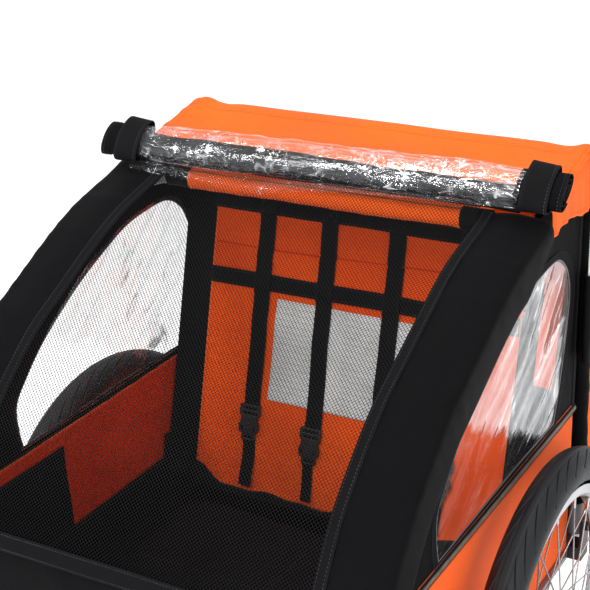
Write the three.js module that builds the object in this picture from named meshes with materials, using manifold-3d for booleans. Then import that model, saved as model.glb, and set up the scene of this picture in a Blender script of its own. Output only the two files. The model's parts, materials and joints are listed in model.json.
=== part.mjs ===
// Two-seat child bicycle trailer: tube base frame, two folding hoops, fabric body,
// push-button wheels, side drawbar with hitch and a safety flag.
// Millimetres, +Z up, -Y is the direction of travel, +X is the trailer's left-hand side.
import * as THREE from 'three';
import { mergeVertices } from 'three/addons/utils/BufferGeometryUtils.js';
import Module from 'manifold-3d';

const wasm = await Module();
wasm.setup();

// ---- driving dimensions ----
const ORIGIN_Y = 374;        // shift that puts the origin under the middle of the overall length
const WHEEL_R = 250;         // 20 inch wheel, outer radius of the tyre
const WHEEL_X = 333;         // wheel centre plane
const TYRE_R = 23;           // tyre section radius
const RAIL_X = 268;          // side rail centre
const RAIL_Z = 240;
const RAIL_S = 22;           // square tube size
const RAIL_W = 2;            // tube wall
const FRAME_Y0 = -412;       // front end of the base frame
const FRAME_Y1 = 331;        // rear end of the base frame
const TUBE_R = 11;           // hoop tube radius
const MAIN_X = 283;          // rear hoop leg
const MAIN_PIVOT = [238, 280];
const MAIN_TOP = [216, 811];
const FRONT_X = 258;         // front hoop leg
const FRONT_PIVOT = [-387, 275];
const FRONT_BAR = [46, 775];
const PANEL_X = 283;         // inner face of the side fabric
const PANEL_T = 3;
const PIPING_Z = 477;        // line between window panel and lower panel
const SEAT_FOOT = [62, 310]; // lower edge of the seat back's front face
const SEAT_DIR = [0.2493, 0.9684];
const SEAT_HALF = 232;       // orange part of the seat back, and the straps across it
const SEAT_SIDE = 281.5;     // seat back with its black side gussets
const SLEEVE_IN = 222;       // front sleeve, inner and outer edge
const SLEEVE_OUT = 303;
const ROLL = [39, 821, 27, 316]; // rolled cover: y, z, radius, half length
const STRAP_X = [-148, -50, 50, 148];
const DRAWBAR_R = 13.5;

// outer surface of the front, from the top bar down to the nose (y, z)
const SURFACE = [[36, 789], [6, 779], [-30, 770], [-74, 757], [-126, 734], [-200, 695], [-250, 668],
  [-304, 625], [-340, 590], [-362, 561], [-384, 526], [-403, 485], [-413, 445], [-414, 390], [-410, 330], [-406, 292]];

const root = new THREE.Group();
root.position.y = ORIGIN_Y;
const paint = {
  steel: [0x828482, 0.45, 0.8], zinc: [0xb9bcbe, 0.35, 0.9], orange: [0xf0571f, 0.85, 0], black: [0x202022, 0.9, 0],
  clear: [0xd8dcdc, 0.1, 0], white: [0xf2f2f0, 0.6, 0], tyre: [0x232529, 0.8, 0], alloy: [0xc9cbcd, 0.3, 0.9],
  plastic: [0x19191b, 0.5, 0], net: [0x2a2a2c, 0.9, 0]
};
function add(name, geo, kind) {
  const [c, r, m] = paint[kind];
  const mesh = new THREE.Mesh(geo, new THREE.MeshStandardMaterial({ color: c, roughness: r, metalness: m }));
  mesh.name = name;
  root.add(mesh);
  return mesh;
}

// ---- solid helpers ----
function clean(g) {
  const h = g.index ? g.clone() : g;
  const n = new THREE.BufferGeometry();
  n.setAttribute('position', h.getAttribute('position').clone());
  if (h.index) n.setIndex(h.index.clone());
  return mergeVertices(n, 1e-4);
}
function toSolid(g) {
  const c = clean(g);
  return new wasm.Manifold(new wasm.Mesh({
    numProp: 3,
    vertProperties: new Float32Array(c.getAttribute('position').array),
    triVerts: new Uint32Array(c.index.array)
  }));
}
function toGeo(s) {
  const m = s.getMesh();
  const g = new THREE.BufferGeometry();
  g.setAttribute('position', new THREE.BufferAttribute(new Float32Array(m.vertProperties), 3));
  g.setIndex(new THREE.BufferAttribute(new Uint32Array(m.triVerts), 1));
  g.computeVertexNormals();
  return g;
}
const union = (...gs) => toGeo(gs.map(toSolid).reduce((a, b) => a.add(b)));
const cut = (g, ...gs) => toGeo(gs.map(toSolid).reduce((a, b) => a.subtract(b), toSolid(g)));

function box(x0, x1, y0, y1, z0, z1) {
  const g = new THREE.BoxGeometry(x1 - x0, y1 - y0, z1 - z0);
  g.translate((x0 + x1) / 2, (y0 + y1) / 2, (z0 + z1) / 2);
  return g;
}
function rodX(x0, x1, y, z, r, n = 16) {
  const g = new THREE.CylinderGeometry(r, r, x1 - x0, n);
  g.rotateZ(Math.PI / 2);
  g.translate((x0 + x1) / 2, y, z);
  return g;
}
function rodZ(x, y, z0, z1, r, n = 16) {
  const g = new THREE.CylinderGeometry(r, r, z1 - z0, n);
  g.rotateX(Math.PI / 2);
  g.translate(x, y, (z0 + z1) / 2);
  return g;
}
// plate cut from a (y, z) outline, standing between two X planes
function plateX(outline, x0, x1, hole) {
  const s = new THREE.Shape(outline.map(p => new THREE.Vector2(p[0], p[1])));
  if (hole) s.holes.push(new THREE.Path(hole.map(p => new THREE.Vector2(p[0], p[1]))));
  const g = new THREE.ExtrudeGeometry(s, { depth: x1 - x0, bevelEnabled: false });
  // shape x -> Y, shape y -> Z, depth -> X
  g.applyMatrix4(new THREE.Matrix4().makeBasis(new THREE.Vector3(0, 1, 0), new THREE.Vector3(0, 0, 1), new THREE.Vector3(1, 0, 0)));
  g.translate(x0, 0, 0);
  return g;
}
// square tube along Y or X
function squareTube(len, s, w) {
  const h = s / 2, i = h - w;
  const shape = new THREE.Shape([[-h, -h], [h, -h], [h, h], [-h, h]].map(p => new THREE.Vector2(...p)));
  shape.holes.push(new THREE.Path([[-i, -i], [-i, i], [i, i], [i, -i]].map(p => new THREE.Vector2(...p))));
  const g = new THREE.ExtrudeGeometry(shape, { depth: len, bevelEnabled: false });
  g.translate(0, 0, -len / 2);
  return g;
}
class VertexPath extends THREE.Curve {
  constructor(pts) { super(); this.pts = pts; }
  getPoint(t) {
    const f = t * (this.pts.length - 1), i = Math.min(Math.floor(f + 1e-9), this.pts.length - 2);
    return this.pts[i].clone().lerp(this.pts[i + 1], f - i);
  }
  getPointAt(u) { return this.getPoint(u); }
  getSpacedPoints() { return this.pts.map(p => p.clone()); }
  getTangentAt(u) {
    const i = Math.round(u * (this.pts.length - 1)), n = this.pts.length - 1;
    const a = i > 0 ? this.pts[i].clone().sub(this.pts[i - 1]).normalize() : null;
    const b = i < n ? this.pts[i + 1].clone().sub(this.pts[i]).normalize() : null;
    return (a && b ? a.add(b) : (a || b)).normalize();
  }
  getTangent(u) { return this.getTangentAt(u); }
}
// corner points to a path with round bends
function bend(corners, radius, steps = 5) {
  const P = corners.map(c => new THREE.Vector3(...c));
  const out = [P[0]];
  for (let i = 1; i < P.length - 1; i++) {
    const a = P[i - 1].clone().sub(P[i]), b = P[i + 1].clone().sub(P[i]);
    const la = a.length(), lb = b.length();
    a.normalize(); b.normalize();
    const ang = Math.acos(THREE.MathUtils.clamp(a.dot(b), -1, 1));
    if (Math.PI - ang < 0.5) { out.push(P[i]); continue; }
    const d = Math.min(radius / Math.tan(ang / 2), la * 0.48, lb * 0.48);
    const r = d * Math.tan(ang / 2);
    const c = P[i].clone().add(a.clone().add(b).normalize().multiplyScalar(r / Math.sin(ang / 2)));
    const s = P[i].clone().addScaledVector(a, d).sub(c), e = P[i].clone().addScaledVector(b, d).sub(c);
    const sweep = s.angleTo(e), axis = s.clone().cross(e).normalize();
    for (let k = 0; k <= steps; k++) out.push(c.clone().add(s.clone().applyAxisAngle(axis, sweep * k / steps)));
  }
  out.push(P[P.length - 1]);
  return out;
}
function tube(pts, r, wall, sides = 10) {
  const ring = rr => Array.from({ length: sides }, (_, k) => new THREE.Vector2(rr * Math.cos(2 * Math.PI * k / sides), rr * Math.sin(2 * Math.PI * k / sides)));
  const shape = new THREE.Shape(ring(r));
  if (wall) shape.holes.push(new THREE.Path(ring(r - wall).reverse()));
  const path = new VertexPath(pts);
  return new THREE.ExtrudeGeometry(shape, { steps: pts.length - 1, extrudePath: path, bevelEnabled: false });
}
function lathe(profile, segments) {
  return new THREE.LatheGeometry(profile.map(p => new THREE.Vector2(p[0], p[1])), segments);
}
// offset an open (y, z) line by d to the side of its left-hand normal
function offset(line, d) {
  return line.map((p, i) => {
    const a = line[Math.max(i - 1, 0)], b = line[Math.min(i + 1, line.length - 1)];
    const t = new THREE.Vector2(b[0] - a[0], b[1] - a[1]).normalize();
    return [p[0] - t.y * d, p[1] + t.x * d];
  });
}
const inward = d => offset(SURFACE, d);
const shell = (x0, x1, i0, i1, t0, t1) => {
  const a = inward(t0).slice(i0, i1), b = inward(t1).slice(i0, i1).reverse();
  return plateX(a.concat(b), x0, x1);
};
const both = (name, make, kind) => { add(name + '_left', make(1), kind); add(name + '_right', make(-1), kind); };
const mirrorX = (g, s) => {
  if (s > 0) return g;
  const h = clean(g);
  const p = h.getAttribute('position');
  for (let i = 0; i < p.count; i++) p.setX(i, -p.getX(i));
  const ix = h.index.array;
  for (let i = 0; i < ix.length; i += 3) { const t = ix[i]; ix[i] = ix[i + 1]; ix[i + 1] = t; }
  h.computeVertexNormals();
  return h;
};

// ---- base frame ----
both('side_rail', s => {
  const g = squareTube(FRAME_Y1 - FRAME_Y0, RAIL_S, RAIL_W);
  g.rotateX(Math.PI / 2);
  g.translate(s * RAIL_X, (FRAME_Y0 + FRAME_Y1) / 2, RAIL_Z);
  return g;
}, 'steel');
for (const [name, y] of [['cross_tube_front', FRAME_Y0 + 11], ['cross_tube_axle', 0], ['cross_tube_rear', FRAME_Y1 - 11]]) {
  const g = squareTube(2 * (RAIL_X - RAIL_S / 2 - 0.3), RAIL_S, RAIL_W);
  g.rotateY(Math.PI / 2);
  g.translate(0, y, RAIL_Z);
  add(name, g, 'steel');
}
both('axle_bracket', s => mirrorX(cut(
  union(box(279.3, 285.3, -30, 30, 226, 265), rodX(285, 299.5, 0, WHEEL_R, 13, 24)),
  rodX(275, 305, 0, WHEEL_R, 6.33, 24)), s), 'zinc');
both('hoop_bracket', s => mirrorX(union(
  box(279.3, 299, 224, 252, 230, 250), box(295, 299, 224, 252, 249, 294),
  rodX(268, 303, MAIN_PIVOT[0], MAIN_PIVOT[1], 4, 16), rodX(299, 304, MAIN_PIVOT[0], MAIN_PIVOT[1], 7.5, 6),
  rodX(266.5, 271, MAIN_PIVOT[0], MAIN_PIVOT[1], 7.5, 6)), s), 'plastic');
both('nose_bracket', s => mirrorX(union(
  box(270, 274, -401, -373, 251.3, 290), box(262, 279, -401, -373, 251.3, 254),
  rodX(243, 277, FRONT_PIVOT[0], FRONT_PIVOT[1], 4, 16), rodX(274, 278.5, FRONT_PIVOT[0], FRONT_PIVOT[1], 7.5, 6),
  rodX(242, 246.2, FRONT_PIVOT[0], FRONT_PIVOT[1], 7.5, 6)), s), 'zinc');

// ---- fabric body on the base ----
add('floor_panel', box(-272, 272, -408, 327, 225.5, 228.6), 'black');
{
  const s = [[-195, 256], [-190, 251.6], [55, 251.6], [60, 256], [60, 300], [54, 306], [-160, 307], [-186, 302], [-195, 290]];
  add('seat_cushion', plateX(s, -245, 245), 'black');
}
// point on the seat back: h along it from its foot, d in front of its face
const onSeat = (h, d) => [SEAT_FOOT[0] + SEAT_DIR[0] * h - SEAT_DIR[1] * d, SEAT_FOOT[1] + SEAT_DIR[1] * h + SEAT_DIR[0] * d];
const seatPlate = (x0, x1, h0, h1, d0, d1) => plateX([onSeat(h0, d1), onSeat(h0, d0), onSeat(h1, d0), onSeat(h1, d1)], x0, x1);
add('seat_back', plateX([onSeat(0, 0), onSeat(0, -13), onSeat(6, -14), onSeat(488, -14), onSeat(494, -10), onSeat(494, -3), onSeat(490, 0)], -SEAT_SIDE, SEAT_SIDE), 'orange');
add('seat_strap_upper', seatPlate(-SEAT_HALF, SEAT_HALF, 398, 420, 0.4, 2.2), 'black');
add('seat_strap_lower', seatPlate(-SEAT_HALF, SEAT_HALF, 292, 315, 0.4, 2.2), 'black');
add('care_label', seatPlate(-125, 125, 138, 282, 0.35, 1), 'white');
STRAP_X.forEach((x, k) => {
  const low = 30;
  add('shoulder_strap_' + (k + 1), union(
    seatPlate(x - 12.5, x + 12.5, low, 417, 2.6, 4.6), seatPlate(x - 5, x + 5, low - 24, low + 4, 2.6, 4.6)), 'black');
  const h = k % 2 ? 87 : 101;
  add('strap_buckle_' + (k + 1), cut(seatPlate(x - 16, x + 16, h - 11, h + 11, 5, 10),
    seatPlate(x - 12, x + 12, h - 8, h - 3, 4, 11), seatPlate(x - 12, x + 12, h + 3, h + 8, 4, 11)), 'plastic');
});
const edge = inward(7);
const low = edge.filter(p => p[1] < PIPING_Z - 8), high = edge.filter(p => p[1] > PIPING_Z + 8);
const sideLow = [[200, PIPING_Z - 0.3], [200, 253], [42, 253], [42, 268], [-42, 268], [-42, 253], [-396, 253]]
  .concat(low.slice().reverse().filter(p => p[1] > 300), [[-397, PIPING_Z - 0.3]]);
const sideHigh = [[200, PIPING_Z + 0.3], [200, 806], [62, 786]].concat(high, [[-396, PIPING_Z + 0.3]]);
const WINDOW = [[128, 484], [142, 518], [158, 574], [168, 625], [170, 659], [154, 693], [118, 716], [60, 716], [14, 709],
  [-31, 693], [-81, 671], [-128, 643], [-178, 608], [-214, 574], [-237, 545], [-238, 510], [-233, 484]];
const paneLine = WINDOW.map(p => { const c = [-20, 600]; const v = [p[0] - c[0], p[1] - c[1]]; const l = Math.hypot(...v); return [c[0] + v[0] * (l - 0.8) / l, c[1] + v[1] * (l - 0.8) / l]; });
both('side_panel', s => mirrorX(plateX(sideLow, PANEL_X, PANEL_X + PANEL_T), s), 'orange');
both('window_surround', s => mirrorX(plateX(sideHigh, PANEL_X, PANEL_X + PANEL_T, WINDOW), s), 'black');
both('window_pane', s => mirrorX(plateX(paneLine, PANEL_X + 0.8, PANEL_X + 2.2), s), 'clear');
const cargoSide = [[256, 256], [338, 256], [247, 812], [234, 812]];
add('cargo_cover', union(
  plateX([[334, 253], [338, 253], [246, 818], [242, 818]], -286, 286),
  plateX(cargoSide, 283, 286), plateX(cargoSide, -286, -283)), 'orange');
add('nose_panel', plateX([[-412, 252], [-408.5, 252], [-409.5, 390], [-410, 452], [-404, 470], [-407.5, 471], [-413, 452], [-413, 390]], -221, 221), 'black');

// ---- rear hoop ----
{
  const path = bend([[MAIN_X, MAIN_PIVOT[0] + 0.4, MAIN_PIVOT[1] - 12], [MAIN_X, ...MAIN_TOP], [-MAIN_X, ...MAIN_TOP], [-MAIN_X, MAIN_PIVOT[0] + 0.4, MAIN_PIVOT[1] - 12]], 48);
  add('rear_hoop_tube', cut(tube(path, TUBE_R, 1.8), rodX(-300, 300, MAIN_PIVOT[0], MAIN_PIVOT[1], 4.35, 16)), 'steel');
  both('rear_sleeve', s => {
    const a = new THREE.Vector3(s * MAIN_X, MAIN_PIVOT[0] - 22 * 38 / 531, MAIN_PIVOT[1] + 38);
    const b = new THREE.Vector3(s * MAIN_X, MAIN_PIVOT[0] - 22 * 460 / 531, MAIN_PIVOT[1] + 460);
    return tube([a, b], 14, 2, 12);
  }, 'black');
}
const POLE = [300, 196];
add('flag_pole', rodZ(POLE[0], POLE[1], 560, 1345, 3, 12), 'white');
add('flag', plateX([[199.5, 1120], [199.5, 1330], [404, 1225]], 299.5, 300.5), 'orange');

// ---- front hoop ----
{
  const line = inward(15.6).slice(2, 15).reverse();
  const leg = s => line.map(p => [s * FRONT_X, p[0], p[1]]);
  const foot = s => [s * FRONT_X, FRONT_PIVOT[0], FRONT_PIVOT[1] - 12];
  const up = [foot(1), [FRONT_X, FRONT_PIVOT[0], FRONT_PIVOT[1] + 12]].concat(leg(1).slice(1));
  const down = up.slice().reverse().map(p => [-p[0], p[1], p[2]]);
  const corners = up.concat([[FRONT_X, ...FRONT_BAR], [-FRONT_X, ...FRONT_BAR]], down);
  add('front_hoop_tube', cut(tube(bend(corners, 42), TUBE_R, 1.8), rodX(-275, 275, FRONT_PIVOT[0], FRONT_PIVOT[1], 4.35, 16)), 'steel');
}
both('front_sleeve', s => mirrorX(union(shell(SLEEVE_IN, SLEEVE_OUT, 0, 16, 0, 3), shell(SLEEVE_OUT - 3, SLEEVE_OUT, 0, 16, 0, 44)), s), 'black');
add('rolled_cover', rodX(-ROLL[3], ROLL[3], ROLL[0], ROLL[1], ROLL[2], 20), 'clear');
both('roll_strap', s => {
  const g = lathe([[ROLL[2] + 0.6, -20], [ROLL[2] + 2.8, -20], [ROLL[2] + 2.8, 20], [ROLL[2] + 0.6, 20], [ROLL[2] + 0.6, -20]], 24);
  g.rotateZ(Math.PI / 2);
  g.translate(s * 285, ROLL[0], ROLL[1]);
  return g;
}, 'black');
{
  const top = [[64, 799], [120, 810], [200, 824], [216, 826.5], [232, 826], [240, 819]];
  const under = [[237.5, 817], [230.5, 823], [216, 823.3], [200, 821], [120, 807], [64.5, 796]];
  const flap = [[64, 797.5], [186, 820], [176, 762], [150, 764], [116, 768], [78, 758], [64, 762]];
  add('roof_panel', union(plateX(top.concat(under), -294, 294), plateX(flap, 291, 294), plateX(flap, -294, -291)), 'orange');
}
add('net_cover', shell(-220.5, 220.5, 1, 12, 0, 2), 'net');

// ---- wheels ----
both('tyre', s => {
  const out = [], inn = [];
  for (let k = 0; k <= 10; k++) {
    const a = (-140 + 280 * k / 10) * Math.PI / 180;
    out.push([WHEEL_R - TYRE_R + TYRE_R * Math.cos(a), TYRE_R * Math.sin(a)]);
    if (k > 0 && k < 10 && k % 2) inn.push([WHEEL_R - TYRE_R + (TYRE_R - 4) * Math.cos(a), (TYRE_R - 4) * Math.sin(a)]);
  }
  const a = 140 * Math.PI / 180;
  inn.push([WHEEL_R - TYRE_R + (TYRE_R - 4) * Math.cos(a), (TYRE_R - 4) * Math.sin(a)]);
  const p = out.concat(inn.reverse());
  p.push(p[0]);
  const g = lathe(p, 36);
  g.rotateZ(-Math.PI / 2);
  g.translate(s * WHEEL_X, 0, WHEEL_R);
  return g;
}, 'tyre');
both('rim', s => {
  const p = [[189, -9], [194, -13.5], [205.5, -13.5], [205.5, -11.2], [199, -10], [199, 10], [205.5, 11.2], [205.5, 13.5], [194, 13.5], [189, 9], [189, -9]];
  const g = lathe(p, 36);
  g.rotateZ(-Math.PI / 2);
  g.translate(s * WHEEL_X, 0, WHEEL_R);
  return g;
}, 'alloy');
both('hub', s => {
  const p = [[0, -51], [6.2, -51], [6.2, -32], [16, -32], [16, -25], [24, -25], [24, -22.5], [13, -22], [13, 22], [24, 22.5], [24, 25], [16, 25], [16, 32], [9.4, 32], [9.4, 21], [0, 21]];
  const h = lathe(p, 20);
  let body = toSolid(h);
  const n = 36;
  for (let k = 0; k < n; k++) {
    const side = k % 2 ? 1 : -1, a1 = 2 * Math.PI * k / n, a0 = a1 + (k % 4 < 2 ? 0.75 : -0.75);
    const A = new THREE.Vector3(21.5 * Math.cos(a0), side * 23.7, 21.5 * Math.sin(a0));
    const B = new THREE.Vector3(187.2 * Math.cos(a1), side * 5.5, 187.2 * Math.sin(a1));
    const d = B.clone().sub(A), c = new THREE.CylinderGeometry(1.1, 1.1, d.length(), 3);
    c.applyQuaternion(new THREE.Quaternion().setFromUnitVectors(new THREE.Vector3(0, 1, 0), d.clone().normalize()));
    c.translate(...A.clone().add(B).multiplyScalar(0.5).toArray());
    body = body.add(toSolid(c));
  }
  const g = toGeo(body);
  g.rotateZ(-Math.PI / 2);
  const h2 = mirrorX(g, s);
  h2.translate(s * WHEEL_X, 0, WHEEL_R);
  return h2;
}, 'zinc');
both('axle_button', s => mirrorX(rodX(WHEEL_X + 26, WHEEL_X + 37, 0, WHEEL_R, 9, 20), s), 'plastic');

// ---- drawbar and hitch ----
add('drawbar_clevis', union(
  box(249.8, 253.8, -456, -412.5, 226, 250.5), box(282.2, 286.2, -456, -412.5, 226, 250.5), box(249.8, 286.2, -415.4, -412.5, 226, 250.5),
  rodX(247, 289, -436, RAIL_Z, 5, 16), rodX(244, 250, -436, RAIL_Z, 8.5, 6), rodX(286, 292, -436, RAIL_Z, 8.5, 6)), 'zinc');
const HZ = 335, HX = 95;
{
  const path = bend([[RAIL_X, -425, RAIL_Z], [RAIL_X, -640, RAIL_Z], [112, -890, 308], [HX, -1034, HZ]], 150, 7);
  const t = cut(tube(path, DRAWBAR_R, 2, 12), rodX(240, 300, -436, RAIL_Z, 5.45, 16));
  add('drawbar_tube', union(t, box(HX - 15, HX + 15, -1046, -1030, HZ - 22, HZ + 22),
    box(HX - 15, HX + 15, -1080, -1046, HZ + 18, HZ + 22), box(HX - 15, HX + 15, -1080, -1046, HZ - 22, HZ - 18)), 'steel');
}
add('hitch_coupler', cut(union(rodZ(HX, -1064, HZ - 17.6, HZ + 17.6, 14, 20), box(HX - 6, HX + 6, -1102, -1062, HZ - 10, HZ + 10)), rodX(80, 110, -1092, HZ, 4.4, 16)), 'plastic');
add('hitch_clamp', cut(union(
  box(HX - 11, HX - 6.6, -1152, -1082, HZ - 15, HZ + 15), box(HX + 6.6, HX + 11, -1112, -1082, HZ - 15, HZ + 15), box(HX - 8, HX + 8, -1112, -1106, HZ - 15, HZ + 15)),
  rodX(80, 110, -1092, HZ, 4.4, 16), rodX(80, 110, -1136, HZ, 5.3, 24)), 'zinc');
add('hitch_pin', union(rodX(78, 110, -1092, HZ, 4, 16), rodX(109, 113, -1092, HZ, 9, 16)), 'zinc');

export default root;
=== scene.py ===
import json
import math
import bpy
import bmesh
import numpy as np
from mathutils import Matrix, Vector

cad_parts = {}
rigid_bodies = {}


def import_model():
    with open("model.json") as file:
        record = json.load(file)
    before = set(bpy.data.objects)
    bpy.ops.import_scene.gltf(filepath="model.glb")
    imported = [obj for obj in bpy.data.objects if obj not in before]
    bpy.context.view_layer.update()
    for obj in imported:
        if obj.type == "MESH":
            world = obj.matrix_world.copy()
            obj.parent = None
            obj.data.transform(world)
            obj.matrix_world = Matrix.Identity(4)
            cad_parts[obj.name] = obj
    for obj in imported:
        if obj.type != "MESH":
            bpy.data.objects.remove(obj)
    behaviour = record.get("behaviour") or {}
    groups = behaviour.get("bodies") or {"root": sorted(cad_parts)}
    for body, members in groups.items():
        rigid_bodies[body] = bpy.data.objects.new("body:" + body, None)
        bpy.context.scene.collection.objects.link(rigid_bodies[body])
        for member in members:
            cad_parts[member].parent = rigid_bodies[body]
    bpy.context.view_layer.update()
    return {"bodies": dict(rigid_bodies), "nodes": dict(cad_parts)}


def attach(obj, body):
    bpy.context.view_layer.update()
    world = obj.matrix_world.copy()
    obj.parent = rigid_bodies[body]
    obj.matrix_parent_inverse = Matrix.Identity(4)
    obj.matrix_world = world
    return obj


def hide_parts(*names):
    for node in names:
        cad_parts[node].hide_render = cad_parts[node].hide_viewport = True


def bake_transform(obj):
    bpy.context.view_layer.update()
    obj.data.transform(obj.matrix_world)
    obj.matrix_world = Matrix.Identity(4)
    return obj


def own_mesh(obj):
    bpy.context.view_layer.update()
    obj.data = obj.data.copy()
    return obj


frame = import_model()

bodies = frame["bodies"]
MM = 0.001
OY = 374.0            # the frame's origin lies this far behind the axle


def W(p):
    """Millimetres with Y = 0 at the axle, to the row frame in metres."""
    q = np.array(p, float)
    q[..., 1] += OY
    return q * MM


# ------------------------------------------------------------------ camera
def camera():
    yaw, pitch, roll = math.radians(30.547), math.radians(22.043), math.radians(-1.9376)
    fwd = Vector((-math.sin(yaw) * math.cos(pitch), math.cos(yaw) * math.cos(pitch), -math.sin(pitch)))
    right = Vector((math.cos(yaw), math.sin(yaw), 0))
    up = right.cross(fwd)
    r2 = right * math.cos(roll) + up * math.sin(roll)
    u2 = -right * math.sin(roll) + up * math.cos(roll)
    cam = bpy.data.cameras.new("camera")
    o = bpy.data.objects.new("camera", cam)
    bpy.context.scene.collection.objects.link(o)
    m = Matrix((r2, u2, -fwd)).transposed().to_4x4()
    m.translation = Vector(W([796.93, -1376.0, 1304.23]))
    o.matrix_world = m
    cam.sensor_width = 36.0
    cam.lens = 36.0 * 1377.155 / 590.0
    cam.clip_start, cam.clip_end = 0.05, 60.0
    bpy.context.scene.camera = o
    return o


camera()


# ------------------------------------------------------------------ light, floor
def studio():
    sc = bpy.context.scene
    sc.view_settings.view_transform = "Standard"
    sc.view_settings.look = "None"
    sc.view_settings.exposure = 0.0
    w = bpy.data.worlds.new("studio")
    sc.world = w
    w.use_nodes = True
    bg = w.node_tree.nodes["Background"]
    bg.inputs["Color"].default_value = (0.97, 0.985, 1.0, 1)
    bg.inputs["Strength"].default_value = 0.9

    def area(name, loc, look, size, power, size_y=None, color=(1, 1, 1)):
        l = bpy.data.lights.new(name, "AREA")
        l.energy, l.color = power, color
        l.shape = "RECTANGLE"
        l.size, l.size_y = size, size_y or size
        o = bpy.data.objects.new(name, l)
        sc.collection.objects.link(o)
        o.location = loc
        o.rotation_mode = "QUATERNION"
        o.rotation_quaternion = (Vector(look) - Vector(loc)).to_track_quat("-Z", "Y")
        return o

    area("key", (-1.6, -1.6, 3.2), (0, 0.2, 0.5), 1.1, 50, 0.8)
    area("top", (0.3, 1.0, 3.4), (0, 0.3, 0.5), 2.6, 34, 1.8)
    area("side", (3.2, -0.4, 1.9), (0.1, 0.2, 0.5), 1.4, 26, 2.2)
    area("front", (0.6, -3.4, 1.5), (0, 0, 0.4), 1.6, 57, 1.2)
    area("glint", (-0.7, -2.0, 2.7), (0, 0.4, 0.8), 0.3, 16)
    area("glint2", (1.5, -0.9, 3.0), (0, 0.4, 0.8), 0.3, 14)
    me = bpy.data.meshes.new("floor")
    s = 40.0
    me.from_pydata([(-s, -s, 0), (s, -s, 0), (s, s, 0), (-s, s, 0)], [], [(0, 1, 2, 3)])
    floor = bpy.data.objects.new("floor", me)
    sc.collection.objects.link(floor)
    m = bpy.data.materials.new("floor")
    m.use_nodes = True
    b = m.node_tree.nodes["Principled BSDF"]
    b.inputs["Base Color"].default_value = (0.9, 0.9, 0.9, 1)
    b.inputs["Roughness"].default_value = 0.7
    b.inputs["Specular IOR Level"].default_value = 0.1
    b.inputs["Emission Color"].default_value = (1.0, 1.0, 1.0, 1)
    b.inputs["Emission Strength"].default_value = 0.22
    me.materials.append(m)


studio()


# ------------------------------------------------------------------ materials
class Mat:
    """A node material under construction."""

    def __init__(self, name):
        self.m = bpy.data.materials.new(name)
        self.m.use_nodes = True
        self.nt = self.m.node_tree
        self.b = self.nt.nodes["Principled BSDF"]
        self.out = self.nt.nodes["Material Output"]

    def n(self, kind, **kw):
        node = self.nt.nodes.new(kind)
        for k, v in kw.items():
            if k in ("operation", "blend_type", "data_type", "noise_dimensions", "feature", "attribute_name",
                     "wave_type", "bands_direction", "wave_profile", "distance", "attribute_type", "interpolation"):
                setattr(node, k, v)
            else:
                node.inputs[k.replace("_", " ")].default_value = v
        return node

    def link(self, a, b):
        self.nt.links.new(a, b)

    def math(self, op, a, b=None, c=None, clamp=False):
        node = self.nt.nodes.new("ShaderNodeMath")
        node.operation, node.use_clamp = op, clamp
        for i, x in enumerate((a, b, c)):
            if x is None:
                continue
            if isinstance(x, (int, float)):
                node.inputs[i].default_value = x
            else:
                self.link(x, node.inputs[i])
        return node.outputs[0]

    def cloth(self):
        a = self.n("ShaderNodeAttribute", attribute_name="cloth")
        s = self.n("ShaderNodeSeparateXYZ")
        self.link(a.outputs["Vector"], s.inputs[0])
        return a.outputs["Vector"], s.outputs[0], s.outputs[1]

    def obj(self):
        return self.n("ShaderNodeTexCoord").outputs["Object"]

    def noise(self, vec, scale, detail=3.0, rough=0.55, dist=0.0):
        t = self.n("ShaderNodeTexNoise", Scale=scale, Detail=detail, Roughness=rough, Distortion=dist)
        self.link(vec, t.inputs["Vector"])
        return t.outputs["Fac"]

    def ramp(self, fac, stops):
        r = self.nt.nodes.new("ShaderNodeValToRGB")
        while len(r.color_ramp.elements) < len(stops):
            r.color_ramp.elements.new(0.5)
        for e, (p, c) in zip(r.color_ramp.elements, stops):
            e.position = p
            e.color = (*c, 1) if len(c) == 3 else c
        self.link(fac, r.inputs["Fac"])
        return r.outputs["Color"]

    def mix(self, fac, a, b, kind="MIX"):
        r = self.nt.nodes.new("ShaderNodeMix")
        r.data_type, r.blend_type = "RGBA", kind
        for sock, x in ((r.inputs[0], fac), (r.inputs[6], a), (r.inputs[7], b)):
            if isinstance(x, (int, float)):
                sock.default_value = x
            elif isinstance(x, tuple):
                sock.default_value = (*x, 1) if len(x) == 3 else x
            else:
                self.link(x, sock)
        return r.outputs[2]

    def bump(self, height, distance, strength=1.0, normal=None):
        b = self.n("ShaderNodeBump", Strength=strength, Distance=distance)
        self.link(height, b.inputs["Height"])
        if normal is not None:
            self.link(normal, b.inputs["Normal"])
        return b.outputs["Normal"]

    def to(self, name, x):
        if isinstance(x, (int, float, tuple)):
            self.b.inputs[name].default_value = x if not isinstance(x, tuple) or len(x) == 4 else (*x, 1)
        else:
            self.link(x, self.b.inputs[name])


def lin(r, g, b):
    f = lambda c: (c / 255 / 12.92) if c / 255 <= 0.04045 else ((c / 255 + 0.055) / 1.055) ** 2.4
    return (f(r), f(g), f(b))


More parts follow.
